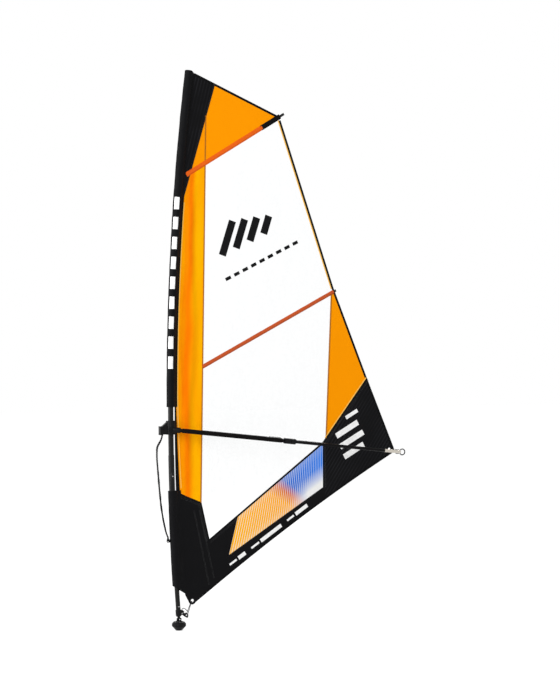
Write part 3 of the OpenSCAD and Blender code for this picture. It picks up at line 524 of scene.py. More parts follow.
def woven(name, colour, roughness, fade, grid, gloss_level=0.06, fold_shade_and_light=None, lean=None):
    material, tree, shader = finish(name, colour, roughness, Specular_IOR_Level=gloss_level)
    place = object_place(tree)
    warp = threads(tree, place, RIPSTOP, "X")
    weft = threads(tree, place, RIPSTOP, "Z")
    lines = sums(tree, "POWER", sums(tree, "MAXIMUM", warp, weft), 8.0)
    fine = sums(tree, "MULTIPLY", threads(tree, place, WEAVE, "X"), threads(tree, place, WEAVE, "Z"))
    dye = remap(tree, cloud(tree, place, 3.5, 6.0), 0.3, 0.7, -1.0, 1.0)
    worn = sums(tree, "MULTIPLY_ADD", dye, fade)
    worn.node.inputs[2].default_value = 0.5
    base = blended(tree, worn, tint(colour, 1 - fade), tint(colour, 1 + fade))
    # painted shade and light of folds: a shaded and a lit colour, blended by a point attribute
    if fold_shade_and_light:
        painted_fold_light = tree_node(tree, "Attribute", attribute_name="painted_fold_light").outputs["Fac"]
        base = blended(tree, sums(tree, "ADD", painted_fold_light, sums(tree, "MULTIPLY", dye, 0.06)), *fold_shade_and_light)
    if lean is not None:
        base = blended(tree, ribs(tree, place, lean), base, tint(colour, RIB_LIGHT))
    # painted highlight: the ripstop grid lines are painted lighter than the cloth
    shown = blended(tree, sums(tree, "MULTIPLY", lines, grid), base, tint(colour, 1.6))
    gloss = remap(tree, cloud(tree, place, 14.0), 0.3, 0.7, roughness - 0.08, roughness + 0.1)
    feed(tree, shader, Base_Color=shown, Roughness=gloss)
    folds = cloud(tree, place, 5.0, 3.0, 0.6, (1.6, 1, 0.7))
    height = sums(tree, "ADD", sums(tree, "MULTIPLY", fine, 0.35), sums(tree, "MULTIPLY", folds, 6.0))
    relief(tree, shader, sums(tree, "ADD", height, lines), 0.00012)
    return material


orange_cloth = woven("orange_cloth", ORANGE, 0.6, 0.05, 0.05, 0.02)
# the luff panel's cloth, with painted shade in its deep fold and painted light on its flanks
luff_orange_painted_folds = woven("luff_orange_painted_folds", ORANGE, 0.6, 0.05, 0.05, 0.02, (ORANGE_FOLD_SHADE, ORANGE_FOLD_LIT))
black_cloth = woven("black_cloth", BLACK, 0.55, 0.25, 0.3)
clew_cloth = woven("clew_cloth", BLACK, 0.55, 0.25, 0.3, lean=math.radians(-34))
head_cloth = woven("head_cloth", BLACK, 0.55, 0.25, 0.3, lean=math.radians(-14))
pocket_cloth = woven("pocket_cloth", POCKET_RED, 0.55, 0.12, 0.15)
pocket_dark = woven("pocket_dark", POCKET_DARK, 0.55, 0.12, 0.15)
webbing = woven("webbing", tint(BLACK, 0.8), 0.62, 0.2, 0.3)
print("woven finishes ready")

# %% [markdown]
# The windows are clear polyester film. Film this thin bends no light, so it needs no glass: the shader is
# see-through by its alpha, a little milky where it has been folded, and it keeps the gloss that shows the
# room in it.

# %% Clear film
FILM_CLEAR = 0.10
FILM_MILKY = 0.22


def clear_film():
    material, tree, shader = finish("clear_film", (0.94, 0.96, 0.97), 0.12, Specular_IOR_Level=0.5)
    place = object_place(tree)
    crease = cloud(tree, place, 2.6, 5.0, 0.62, (1, 1, 0.6))
    milky = remap(tree, crease, 0.42, 0.78, FILM_CLEAR, FILM_MILKY)
    feed(tree, shader, Alpha=milky, Roughness=remap(tree, crease, 0.35, 0.75, 0.07, 0.26))
    relief(tree, shader, cloud(tree, place, 7.0, 3.0, 0.5, (1, 1, 0.5)), 0.0016)
    return material


film = clear_film()
print("film ready")

# %% [markdown]
# The print panel carries fine stripes that cross it, orange towards the mast and blue towards the clew.
# The stripes follow the panel and not the room, so the panel will carry two attributes: along is 0 at its
# front edge and 1 at its rear edge, and across is 0 at its top and 1 at its foot. A colour ramp reads the
# first with a share of the second, so that the two colours meet on a slant. A sine of the first draws the
# white lines, and the second makes both long edges paler and lets the blue fade to white towards the foot.

# %% Striped print
STRIPE_COLOURS = (
    (0.00, (0.96, 0.45, 0.0)), (0.46, (0.96, 0.40, 0.0)), (0.55, (0.68, 0.15, 0.03)),
    (0.63, (0.01, 0.13, 0.60)), (1.00, (0.0, 0.19, 0.82)),
)
STRIPES = 41
STRIPE_SLANT = 0.36
STRIPE_WHITE = (0.84, 0.84, 0.83)


def striped_cloth():
    material, tree, shader = finish("striped_cloth", (0.3, 0.35, 0.45), 0.55, Specular_IOR_Level=0.03)
    place = object_place(tree)
    along = tree_node(tree, "Attribute", attribute_name="along").outputs["Fac"]
    across = tree_node(tree, "Attribute", attribute_name="across").outputs["Fac"]
    off_middle = sums(tree, "SUBTRACT", across, 0.5)
    slanted = sums(tree, "SUBTRACT", along, sums(tree, "MULTIPLY", off_middle, STRIPE_SLANT))
    ramp = tree_node(tree, "ValToRGB", {"Fac": slanted})
    while len(ramp.color_ramp.elements) < len(STRIPE_COLOURS):
        ramp.color_ramp.elements.new(0.5)
    for element, (position, colour) in zip(ramp.color_ramp.elements, STRIPE_COLOURS):
        element.position = position
        element.color = (*colour, 1)
    beat = sums(tree, "SINE", sums(tree, "MULTIPLY", along, STRIPES * 2 * math.pi), 0.0)
    paleness = remap(tree, along, 0.55, 0.95, 0.85, 0.65)
    line = sums(tree, "MULTIPLY", remap(tree, beat, 0.6, 0.9, 0.0, 1.0), paleness)
    border = remap(tree, sums(tree, "ABSOLUTE", off_middle, 0.0), 0.25, 0.5, 0.0, 0.20)
    rear = remap(tree, along, 0.58, 0.80, 0.0, 1.0)
    faded = sums(tree, "MULTIPLY", remap(tree, across, 0.45, 0.85, 0.0, 1.0), rear)
    white = sums(tree, "MAXIMUM", line, sums(tree, "MAXIMUM", faded, border))
    shown = blended(tree, white, ramp.outputs[0], STRIPE_WHITE)
    gloss = remap(tree, cloud(tree, place, 14.0), 0.3, 0.7, 0.42, 0.6)
    feed(tree, shader, Base_Color=shown, Roughness=gloss)
    relief(tree, shader, cloud(tree, place, 5.0, 3.0), 0.0008)
    return material


print_cloth = striped_cloth()
print("striped cloth ready")

# %% [markdown]
# The hard parts need four kinds of finish. Moulded plastic is satin with a fine grain and a few rubbed
# places. Metal is brushed, so its relief is stretched along the tube. Foam is dull and pitted. Rope is
# dull too, with fibres that run along its strands.

# %% Plastic, metal, foam and rope
FINE_GRAIN = 0.00005
RUBBER_GRAIN = 0.00012
BRUSH_DEPTH = 0.00002
FOAM_RIDGE = 0.0045
WINDING = 0.007


def moulded(name, colour, roughness, grain=FINE_GRAIN, gloss_level=0.10):
    material, tree, shader = finish(name, colour, roughness, Specular_IOR_Level=gloss_level)
    place = object_place(tree)
    rubbed = cloud(tree, place, 22.0, 5.0, 0.6)
    shade = blended(tree, remap(tree, rubbed, 0.35, 0.7, 0.0, 1.0), tint(colour, 0.85), tint(colour, 1.35))
    gloss = remap(tree, rubbed, 0.3, 0.7, roughness + 0.08, roughness - 0.08)
    feed(tree, shader, Base_Color=shade, Roughness=gloss)
    relief(tree, shader, cloud(tree, place, 1400.0, 2.0), grain)
    return material


def metal(name, colour, roughness, stretch):
    material, tree, shader = finish(name, colour, roughness, Metallic=1.0)
    place = object_place(tree)
    lines = cloud(tree, place, 60.0, 3.0, 0.6, stretch)
    shade = blended(tree, remap(tree, lines, 0.3, 0.7, 0.0, 1.0), tint(colour, 0.9), tint(colour, 1.06))
    smudge = cloud(tree, place, 16.0, 4.0)
    gloss = remap(tree, smudge, 0.3, 0.7, roughness - 0.07, roughness + 0.1)
    feed(tree, shader, Base_Color=shade, Roughness=gloss)
    relief(tree, shader, lines, BRUSH_DEPTH)
    return material


def foam(name, colour):
    material, tree, shader = finish(name, colour, 0.8, Sheen_Weight=0.01, Specular_IOR_Level=0.06)
    place = object_place(tree)
    pits = cloud(tree, place, 900.0, 3.0, 0.7)
    ridges = threads(tree, place, FOAM_RIDGE, "X")
    worn = cloud(tree, place, 12.0, 4.0)
    shade = blended(tree, remap(tree, worn, 0.35, 0.7, 0.0, 1.0), tint(colour, 0.75), tint(colour, 1.5))
    feed(tree, shader, Base_Color=shade)
    height = sums(tree, "ADD", sums(tree, "MULTIPLY", ridges, 2.0), pits)
    relief(tree, shader, height, 0.00025)
    return material


def rope_fibre(name, colour):
    material, tree, shader = finish(name, colour, 0.72, Sheen_Weight=0.05, Specular_IOR_Level=0.15)
    place = object_place(tree)
    fibre = cloud(tree, place, 420.0, 3.0, 0.6, (1, 1, 0.35))
    flecks = remap(tree, fibre, 0.35, 0.7, 0.0, 1.0)
    shade = blended(tree, flecks, tint(colour, 0.6), tint(colour, 2.0))
    feed(tree, shader, Base_Color=shade)
    relief(tree, shader, fibre, 0.0003)
    return material


def wound_tube(name, colour):
    """Glass fibre wound round a mandrel and lacquered, for the mast."""
    material, tree, shader = finish(
        name, colour, 0.36, Specular_IOR_Level=0.10, Coat_Weight=0.12, Coat_Roughness=0.12)
    place = object_place(tree)
    wind = threads(tree, place, WINDING, "Z")
    haze = cloud(tree, place, 30.0, 4.0, 0.6, (1, 1, 0.2))
    shade = blended(tree, sums(tree, "MULTIPLY", wind, 0.5), tint(colour, 0.85), tint(colour, 1.5))
    feed(tree, shader, Base_Color=shade, Roughness=remap(tree, haze, 0.3, 0.7, 0.3, 0.46))
    relief(tree, shader, wind, 0.00003)
    return material


black_plastic = moulded("black_plastic", (0.0050, 0.0050, 0.0056), 0.42)
boom_plastic = moulded("boom_plastic", (0.0042, 0.0042, 0.0048), 0.40)
grey_plastic = moulded("grey_plastic", (0.30, 0.30, 0.31), 0.40)
pale_plastic = moulded("pale_plastic", (0.50, 0.50, 0.48), 0.38)
rubber = moulded("rubber", (0.012, 0.012, 0.013), 0.78, RUBBER_GRAIN, 0.15)
steel = metal("steel", (0.66, 0.66, 0.67), 0.28, (1, 1, 6))
bare_alloy = metal("bare_alloy", (0.60, 0.56, 0.49), 0.36, (0.3, 1, 3))
dark_alloy = metal("dark_alloy", (0.010, 0.0095, 0.010), 0.42, (0.3, 4, 4))
dark_steel = metal("dark_steel", (0.022, 0.022, 0.024), 0.36, (2, 2, 2))
mast_tube = wound_tube("mast_tube", (0.0055, 0.0053, 0.0053))
grip_foam = foam("grip_foam", (0.0040, 0.0032, 0.0032))
dark_rope = rope_fibre("dark_rope", (0.0040, 0.0040, 0.0046))
grey_rope = rope_fibre("grey_rope", (0.035, 0.035, 0.038))
batten_rod = moulded("batten_rod", (0.008, 0.008, 0.009), 0.40)
grey_thread = rope_fibre("grey_thread", (0.045, 0.045, 0.047))
orange_thread = rope_fibre("orange_thread", (0.62, 0.17, 0.01))
white_ink = moulded("white_ink", (0.93, 0.93, 0.92), 0.5)
black_ink = moulded("black_ink", (0.0065, 0.0065, 0.0070), 0.5, gloss_level=0.05)
print("hard finishes ready")

# %% [markdown]
# The three lines are laid rope: three strands wound round each other. A line is drawn by its centre first,
# as the list of points that the solid follows. Each strand is then a curve that circles that centre, and a
# round bevel gives the curve its thickness before it is turned into a mesh.

# %% Helper for rope
STRAND_SHARE = 0.232
STEPS_PER_TURN = 10
BUMP_SPAN = 0.030


def spline_through(points, steps):
    """A smooth curve through the points, with a few steps between each two."""
    curve = []
    for i in range(len(points) - 1):
        p0, p1 = points[max(i - 1, 0)], points[i]
        p2, p3 = points[i + 1], points[min(i + 2, len(points) - 1)]
        for j in range(steps):
            t = j / steps
            curve.append(0.5 * (
                2 * p1 + (p2 - p0) * t + (2 * p0 - 5 * p1 + 4 * p2 - p3) * t ** 2
                + (3 * p1 - p0 - 3 * p2 + p3) * t ** 3
            ))
    return curve + [points[-1]]


def evenly(points, step):
    """Points at equal steps along a line of points, and the line's length."""
    lengths = [0.0]
    for before, after in zip(points, points[1:]):
        lengths.append(lengths[-1] + (after - before).length)
    count = max(2, round(lengths[-1] / step))
    spaced, leg = [], 0
    for i in range(count + 1):
        target = lengths[-1] * i / count
        while leg < len(points) - 2 and lengths[leg + 1] < target:
            leg += 1
        share = (target - lengths[leg]) / max(lengths[leg + 1] - lengths[leg], 1e-9)
        spaced.append(points[leg].lerp(points[leg + 1], min(share, 1.0)))
    return spaced, lengths[-1]


def turning_sides(points):
    """At each point, two directions across the line that don't twist along it."""
    sides, side = [], None
    for i in range(len(points)):
        ahead = (points[min(i + 1, len(points) - 1)] - points[max(i - 1, 0)]).normalized()
        if side is None:
            side = ahead.orthogonal()
        side = (side - ahead * side.dot(ahead)).normalized()
        sides.append((side, ahead.cross(side)))
    return sides


def curve_mesh(name, lines, radius, resolution=2, swell=None):
    """One mesh of round threads along several lines of points, swollen point by point if asked."""
    curve = bpy.data.curves.new(name, "CURVE")
    curve.dimensions = "3D"
    curve.bevel_depth = radius
    curve.bevel_resolution = resolution
    curve.use_fill_caps = True
    for line in lines:
        spline = curve.splines.new("POLY")
        spline.points.add(len(line) - 1)
        for i, (target, point) in enumerate(zip(spline.points, line)):
            target.co = (*point, 1)
            target.radius = swell[i] if swell else 1.0
    piece = bpy.data.objects.new(name, curve)
    bpy.context.scene.collection.objects.link(piece)
    pick(piece)
    bpy.ops.object.convert(target="MESH")
    return bpy.context.object


def laid_strands(route, diameter, lay, gather=0.0):
    """A rope's strands along a route. A gathered one swells here and there, as where a cover bunches up."""
    orbit = diameter / 2 - STRAND_SHARE * diameter
    points, length = evenly(route, lay / STEPS_PER_TURN)
    sides = turning_sides(points)
    heights = [i * lay / STEPS_PER_TURN / BUMP_SPAN for i in range(len(points))]
    swell = [1 + gather * max(0.0, noise.noise(Vector((0.5, 0.5, height))) + 0.3) for height in heights]
    lines = []
    for k in range(3):
        turn = [2 * math.pi * (i / STEPS_PER_TURN + k / 3) for i in range(len(points))]
        lines.append([
            point + (side * math.cos(a) + up * math.sin(a)) * (orbit * size)
            for point, (side, up), a, size in zip(points, sides, turn, swell)
        ])
    return lines, swell, points, length


def rope_mesh(name, lines, diameter, swell=None):
    piece = curve_mesh(name, lines, STRAND_SHARE * diameter, swell=swell)
    smooth(piece, ROUND_ANGLE)
    return piece


print("rope helper ready")

# %% [markdown]
# The uphaul is the thick rope that the sailor pulls to lift the rig from the water. It hangs in a slack
# bow from the boom's nose to a loop on the luff sleeve, so it bends when the boom slides up or down. A
# knot ties its lower end to the loop: a few tight turns of the same rope, each a torus.

# %% Uphaul
UPHAUL = [Vector((x, 0, z)) / 1000 for x, z in (
    (-136.7, 1524), (-137.7, 1502), (-148.7, 1466), (-177, 1415), (-181, 1370), (-180, 1315),
    (-175, 1255), (-170, 1200), (-165, 1140), (-160, 1085), (-154, 1030), (-148, 970), (-139, 910),
    (-129, 854), (-117, 800), (-105, 753), (-92, 720), (-89, 703.3),
)]
UPHAUL_D = 0.014
UPHAUL_LAY = 0.056
UPHAUL_GATHER = 0.34
KNOT = Vector((-0.0895, 0, 0.6975))
KNOT_TURNS = ((0.0070, (1.2, 0.0, 0.4)), (0.0074, (0.3, 0.5, 0.0)), (0.0062, (1.5, 0.9, 0.2)))
KNOT_FAT = 1.6

strands, swell, uphaul_path, uphaul_length = laid_strands(
    spline_through(UPHAUL, 6), UPHAUL_D, UPHAUL_LAY, UPHAUL_GATHER)
uphaul = rope_mesh("uphaul_rope", strands, UPHAUL_D, swell)
dress(uphaul, dark_rope, "uphaul_line", ["uphaul_line"], ("rig", "boom", UPHAUL[-1], UPHAUL[0]))
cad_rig.cord(
    uphaul, exit=UPHAUL[0], length=uphaul_length, diameter=UPHAUL_D, far_end="object", stiffness="medium",
    lay="hanging", path=uphaul_path,
)
turns = []
for radius, turn in KNOT_TURNS:
    bpy.ops.object.select_all(action="DESELECT")
    bpy.ops.mesh.primitive_torus_add(
        major_radius=radius, minor_radius=STRAND_SHARE * UPHAUL_D * KNOT_FAT, major_segments=28,
        minor_segments=12, location=KNOT, rotation=turn)
    bpy.ops.object.transform_apply(location=True, rotation=True, scale=True)
    turns.append(bpy.context.object)
knot = join("uphaul_knot", turns)
smooth(knot, ROUND_ANGLE)
dress(knot, dark_rope, "uphaul_loop")
print("uphaul length", round(uphaul_length, 3))

# %% [markdown]
# The downhaul stretches the luff. It starts round the axle's end, goes up through the tack eyelet, comes
# down round the sheave and ends in the cleat. The outhaul does the same for the foot, as a loop through
# the clew eyelet and round the end of the boom. Both are thin lines held at both ends. The boom slides on
# the mast and its tail slides in the boom, so the outhaul crosses two joints. A piece can bend across one,
# so the outhaul is cut half way: its ends bend from the sail to the boom, and its bight on to the tail.

# %% Downhaul and outhaul
LINE_D = 0.006
LINE_LAY = 0.024
SHEAVE = Vector((58, 0, 112)) / 1000
TACK = Vector((110, 0, 220)) / 1000
CLEW_EYE = Vector((1846, 0, 1344.3)) / 1000
YOKE = Vector((1923.5, 0, 1322.7)) / 1000


def round_sheave(degrees, radius, y):
    a = math.radians(degrees)
    return SHEAVE + Vector((radius * math.cos(a), y, radius * math.sin(a))) / 1000


def near(point, *offsets):
    return [point + Vector(offset) / 1000 for offset in offsets]


downhaul_route = (
    [round_sheave(a, 6.3, 12.4) for a in range(90, 336, 35)]
    + near(TACK, (-12, 8, -21), (-7, 7, -10), (-4, 4, -5.5), (-3, 0, -4), (-4, -4, -5.5), (-7, -7, -10),
           (-12, -6, -21))
    + [round_sheave(-25 - 20.3 * i, 11.6, 0) for i in range(7)]
    + [Vector(p) / 1000 for p in (
        (33, 0, 132), (25.5, 0, 144), (25, 0, 154), (29, 0, 163), (40, 0, 165), (53, 0, 158), (63, 0, 148),
        (71, 0, 138))]
)
outhaul_route = (
    near(CLEW_EYE, (4, 0, -2), (7, -4.62, -3), (16, -6.6, -2), (46, -6.6, -3))
    + near(YOKE, (-9, -6.6, 14.8), (5, -6.6, 15.6), (8.05, -12.5, 14.2), (16.9, -14, 0), (8.05, -12.5, -14.5),
           (-4, -4, -16.9), (-14, 4, -13.7))
    + near(CLEW_EYE, (46, 6.6, -21), (20, 6.6, -8), (10, 6.6, -5))
)
strands, _, downhaul_path, downhaul_length = laid_strands(
    spline_through(downhaul_route, 4), LINE_D, LINE_LAY)
downhaul = rope_mesh("downhaul_rope", strands, LINE_D)
dress(downhaul, grey_rope, "downhaul_line", ["downhaul_line"])
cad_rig.cord(
    downhaul, exit=downhaul_path[0], length=downhaul_length, diameter=LINE_D, far_end="object", lay="taut",
    path=downhaul_path,
)
strands, _, outhaul_path, outhaul_length = laid_strands(
    spline_through(outhaul_route, 4), LINE_D, LINE_LAY)
half_way = CLEW_EYE.lerp(YOKE, 0.5)
aft = [i for i, point in enumerate(outhaul_path) if (point - half_way).dot(YOKE - CLEW_EYE) > 0]
bight = [strand[aft[0]:aft[-1] + 1] for strand in strands]
ends = [end for strand in strands for end in (strand[:aft[0] + 1], strand[aft[-1]:])]
outhaul = rope_mesh("outhaul_rope", bight, LINE_D)
outhaul_ends = rope_mesh("outhaul_ends", ends, LINE_D)
dress(outhaul, grey_rope, "outhaul_line", ["outhaul_line"], ("boom_tail", "boom", YOKE, half_way))
dress(outhaul_ends, grey_rope, "outhaul_line", [], ("boom", "rig", half_way, CLEW_EYE))
bight_path = outhaul_path[aft[0]:aft[-1] + 1]
bight_length = sum((b - a).length for a, b in zip(bight_path, bight_path[1:]))
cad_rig.cord(
    outhaul, exit=bight_path[0], length=bight_length, diameter=LINE_D, far_end="object", lay="taut",
    path=bight_path, with_pieces=[outhaul_ends],
)
print("downhaul", round(downhaul_length, 3), "outhaul", round(outhaul_length, 3))

# %% [markdown]
# A rigged mast is bent by the sail, so its axis is an arc that starts at the mast foot's joint. Everything
# along the luff is placed from that arc: a height gives a point on the axis, and forward and sideways
# give the distance from it.

# %% The bent mast
PIVOT = Vector(joints["mast_foot_roll"]["pos_m"])
MAST_BEND = 21.2
MAST_RAKE = math.radians(4.6)
BEND_CENTRE = PIVOT + Vector((math.cos(MAST_RAKE), 0, math.sin(MAST_RAKE))) * MAST_BEND


def on_mast(z, forward=0.0, side=0.0):
    """A point at a height on the mast's axis, moved forward and sideways from it."""
    lean = math.asin((z - BEND_CENTRE.z) / MAST_BEND)
    radius = MAST_BEND + forward
    return BEND_CENTRE + Vector((-radius * math.cos(lean), side, radius * math.sin(lean)))


print("mast arc about", tuple(BEND_CENTRE))

# %% [markdown]
# The sail is drawn flat, as a sailmaker cuts it. These are the corners where its seams meet, in metres
# along the boom and up. Panels keep still along their seams, because two layers are sewn together there,
# and move a few millimetres in between. That movement is noise which fades out near each seam.

# %% Sail plan
PLAN = {name: Vector((x, 0, z)) / 1000 for name, x, z in (
    ("head", 126.9, 4300), ("peak", 853, 4008), ("leech_mid", 1334, 2657), ("batten_end", 1344, 2633),
    ("leech_low", 1641, 1925), ("clew_up", 1887, 1359.3), ("clew", 1896, 1335.3),
    ("clew_down", 1873, 1310.3), ("foot_start", 135, 203), ("patch_low", 35, 3337),
    ("patch_top", 296, 4232), ("patch_batten", 89, 3523), ("seam_top", 217, 3604),
    ("seam_low", 182, 971), ("luff_low", -20, 1055), ("batten_start", 196, 2027),
    ("panel_top", 1316, 2618), ("leech_corner", 1267.8, 1444.7), ("panel_low", 1244, 1414),
    ("notch", 250, 677), ("print_top", 488.6, 853.9), ("print_low", 410, 545), ("print_rear", 1245, 1052),
    ("head_meet", 222, 3979),
)}
FOOT_HOLLOW = 0.038
FOOT_FRONT = 0.125
FOOT_REAR = 0.651
LUFF_LOW, LUFF_HIGH = 0.268, 4.3
CUT_LOW, CUT_HIGH = 1.074, 1.719
BACK_LOW, BACK_HIGH = 0.064, 0.046
BELLY = 0.005
SEAM_STILL = 0.02
SEAM_FREE = 0.16


def foot_edge(t):
    return PLAN["foot_start"].lerp(PLAN["clew_down"], t) + Vector((0, 0, 4 * FOOT_HOLLOW * t * (1 - t)))


def plan_route(names):
    return [PLAN[name] for name in names.split()]


def luff_back(z):
    """How far the luff seam lies behind the mast's axis: further below the boom than above it."""
    t = max(0.0, min(1.0, (z - CUT_LOW) / (CUT_HIGH - CUT_LOW)))
    return BACK_LOW + (BACK_HIGH - BACK_LOW) * t


def luff_route(low, high, aside, count):
    heights = [low + (high - low) * i / count for i in range(count + 1)]
    return [on_mast(z, -luff_back(z) - aside) for z in heights]


SEAMS = {
    "head_seam": plan_route("patch_low patch_batten patch_top"),
    "upper_batten_seam": plan_route("patch_batten seam_top peak"),
    "luff_seam": plan_route("seam_top batten_start seam_low"),
    "lower_batten_seam": plan_route("batten_start panel_top batten_end"),
    "leech_seam": plan_route("panel_top leech_corner"),
    "clew_seam": plan_route("leech_low panel_low print_rear") + [foot_edge(FOOT_REAR)],
    "print_seam": plan_route("panel_low print_top"),
    "foot_seam": plan_route("print_rear print_low"),
    "tack_seam": plan_route("luff_low seam_low notch print_top print_low") + [foot_edge(FOOT_FRONT)],
    "leech": plan_route("head peak leech_mid batten_end leech_low clew_up clew clew_down"),
    "foot": [foot_edge(i / 12) for i in range(13)],
    "luff": luff_route(LUFF_LOW, LUFF_HIGH, 0.0, 40),
}


def distance_to(route, point):
    best = 9.0
    for a, b in zip(route, route[1:]):
        run = b - a
        t = max(0.0, min(1.0, (point - a).dot(run) / run.length_squared))
        best = min(best, (a + run * t - point).length)
    return best


def rise_across(run):
    """A unit step across a run within the sail, on its upper side."""
    return Vector((-run.z, 0, run.x)).normalized()


def ease(value, low, high):
    t = max(0.0, min(1.0, (value - low) / (high - low)))
    return t * t * (3 - 2 * t)


def belly(x, z):
    point = Vector((x, 0, z))
    still = min(distance_to(route, point) for route in SEAMS.values())
    wave = noise.noise(Vector((x * 3.1, 0.7, z * 1.7))) + 0.5 * noise.noise(Vector((x * 8, 3.3, z * 5)))
    return BELLY * wave * ease(still, SEAM_STILL, SEAM_FREE)


print("sail plan", len(PLAN), "corners", len(SEAMS), "seams")

# %% [markdown]
# A panel starts as the near face of its solid: copy it, delete the other faces, and dissolve the leftover
# triangles into one outline. Bisecting that outline every few centimetres, up and across, gives a grid of
# clean squares that can bend. Solidify turns the bent face into cloth with two sides and an edge.

# %% Helper for panels
CLOTH = 0.0007
FILM = 0.0004
FLAT_ANGLE = 0.05
CLOTH_ANGLE = 35
NEAR_FACE = -0.3


def keep_near_face(piece):
    edit(piece)
    bpy.ops.mesh.select_all(action="DESELECT")
    leave()
    for face in piece.data.polygons:
        face.select = face.normal.y > NEAR_FACE
    edit(piece)
    bpy.ops.mesh.delete(type="FACE")
    leave()


def cut_grid(piece, step):
    """Cuts a flat panel into squares of about that step, by bisecting it along x and then along z."""
    low = [min(v.co[k] for v in piece.data.vertices) for k in range(3)]
    high = [max(v.co[k] for v in piece.data.vertices) for k in range(3)]
    edit(piece)
    for axis in (0, 2):
        normal = [0, 0, 0]
        normal[axis] = 1
        count = max(1, round((high[axis] - low[axis]) / step))
        for i in range(1, count):
            place = [0, 0, 0]
            place[axis] = low[axis] + (high[axis] - low[axis]) * i / count
            bpy.ops.mesh.select_all(action="SELECT")
            bpy.ops.mesh.bisect(plane_co=place, plane_no=normal)
    leave()


def thicken(piece, thickness):
    modify(piece, "SOLIDIFY", thickness=thickness, offset=0.0)
    face_out(piece)
    smooth(piece, CLOTH_ANGLE)


def flat_face(node, name):
    piece = copy_of(node, name)
    keep_near_face(piece)
    for vertex in piece.data.vertices:
        vertex.co.y = 0
    on_all(piece, bpy.ops.mesh.dissolve_limited, angle_limit=math.radians(FLAT_ANGLE))
    return piece


def cut_box(piece):
    """Width and length of the smallest rectangle of cloth that the panel can be cut from."""
    boxes = []
    for degrees in range(0, 90, 2):
        turn = Matrix.Rotation(math.radians(degrees), 2)
        flat = [turn @ Vector((v.co.x, v.co.z)) for v in piece.data.vertices]
        boxes.append([max(p[k] for p in flat) - min(p[k] for p in flat) for k in (0, 1)])
    return min(boxes, key=lambda box: box[0] * box[1])


def declare_cloth(piece, area):
    """States a panel as a sheet of cloth: the rectangle that it is cut from, and the area of the cut."""
    box = cut_box(piece)
    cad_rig.sheet(piece, flat=box, held="stretched", area=min(area, box[0] * box[1]))
    print("  cloth", piece.name, [round(v, 3) for v in box], round(area, 4))


def panel(node, name, material, thickness, step):
    piece = flat_face(node, name)
    area = sum(face.area for face in piece.data.polygons)
    cut_grid(piece, step)
    for vertex in piece.data.vertices:
        vertex.co.y = belly(vertex.co.x, vertex.co.z)
    thicken(piece, thickness)
    dress(piece, material, node, [node])
    declare_cloth(piece, area)
    return piece


print("panel helper ready")

# %% [markdown]
# Now the flat panels. Black reinforced cloth takes the load at the head, tack, clew and foot. Orange
# cloth fills the head and the leech. The two big windows are film. They and the head patch have a coarser
# grid, because they stay smoother.

# %% Flat panels
FINE_GRID = 0.03
COARSE_GRID = 0.04
PANELS = (
    ("head_patch", head_cloth, COARSE_GRID), ("head_panel", orange_cloth, FINE_GRID),
    ("leech_panel", orange_cloth, FINE_GRID), ("clew_panel", clew_cloth, FINE_GRID),
    ("tack_panel", black_cloth, FINE_GRID), ("foot_band", black_cloth, FINE_GRID),
)
for node, material, step in PANELS:
    panel(node, node + "_cloth", material, CLOTH, step)
for node in ("window_upper", "window_lower"):
    panel(node, node + "_film", film, FILM, COARSE_GRID)

# %% [markdown]
# The print panel is cut in the same way, and then gets the attributes that its finish reads. A point's
# value is its distance from one edge as a share of its distances from both.

# %% Print panel


def distance_to_line(point, a, b):
    run = (b - a).normalized()
    away = point - a
    return (away - run * away.dot(run)).length


print_panel = panel("print_panel", "print_panel_cloth", print_cloth, CLOTH, FINE_GRID)


def note_share(piece, name, start, end):
    """An attribute that runs from 0 on one edge of the panel, given by its corners, to 1 on another."""
    values = piece.data.attributes.new(name, "FLOAT", "POINT")
    for vertex, value in zip(piece.data.vertices, values.data):
        flat = Vector((vertex.co.x, 0, vertex.co.z))
        before, after = (distance_to_line(flat, *plan_route(names)) for names in (start, end))
        value.value = before / (before + after)


note_share(print_panel, "along", "print_low print_top", "print_rear panel_low")
note_share(print_panel, "across", "print_top panel_low", "print_low print_rear")

# %% [markdown]
# The luff panel is the rippled strip behind the mast. Its solid already has the upright ripples as a coarse grid, so
# the near face is kept with its shape, its triangles are joined to squares and a subdivision surface rounds them.
# Small crosswise puckers from the sleeve's seam are added by noise. Light through the cloth makes the middle fold
# deeper in colour than its flanks, and that is painted: each vertex notes how lit it is painted, from its place across
# the panel, with painted shade in the fold and painted light beside it. The fold and a thin crease beside it wander on
# their way.

# %% Luff panel
PUCKER = 0.0022
PUCKER_LIFT = 0.0005
# where the painted shade of the deep fold and of the thin crease lies across the panel, and how wide
DEEP_FOLD = 0.38
SIDE_FOLD = 0.20
FOLD_WIDTH = 0.15
CREASE_WIDTH = 0.05


def painted_fold_light_at(x, z):
    """How lit the luff panel is painted: painted shade near 0 in its deep fold, and painted light up to 1 beside it.
    """
    front = on_mast(z, -luff_back(z)).x
    t = (z - PLAN["seam_low"].z) / (PLAN["seam_top"].z - PLAN["seam_low"].z)
    across = (x - front) / (PLAN["seam_low"].lerp(PLAN["seam_top"], t).x - front)
    fold = DEEP_FOLD + 0.10 * noise.noise(Vector((0.3, 0.0, z * 1.1)))
    fold += 0.04 * noise.noise(Vector((4.1, 0.0, z * 3.7)))
    crease = SIDE_FOLD + 0.25 * noise.noise(Vector((9.2, 0.0, z * 1.4)))
    depth = 0.78 + 0.4 * noise.noise(Vector((7.7, across * 2, z * 1.6)))
    rise = 1 - math.exp(-((across - fold) / FOLD_WIDTH) ** 2)
    rise -= 0.3 * math.exp(-((across - crease) / CREASE_WIDTH) ** 2)
    return 0.10 + depth * rise * (0.72 + 0.36 * ease(across, fold, fold + 0.3))


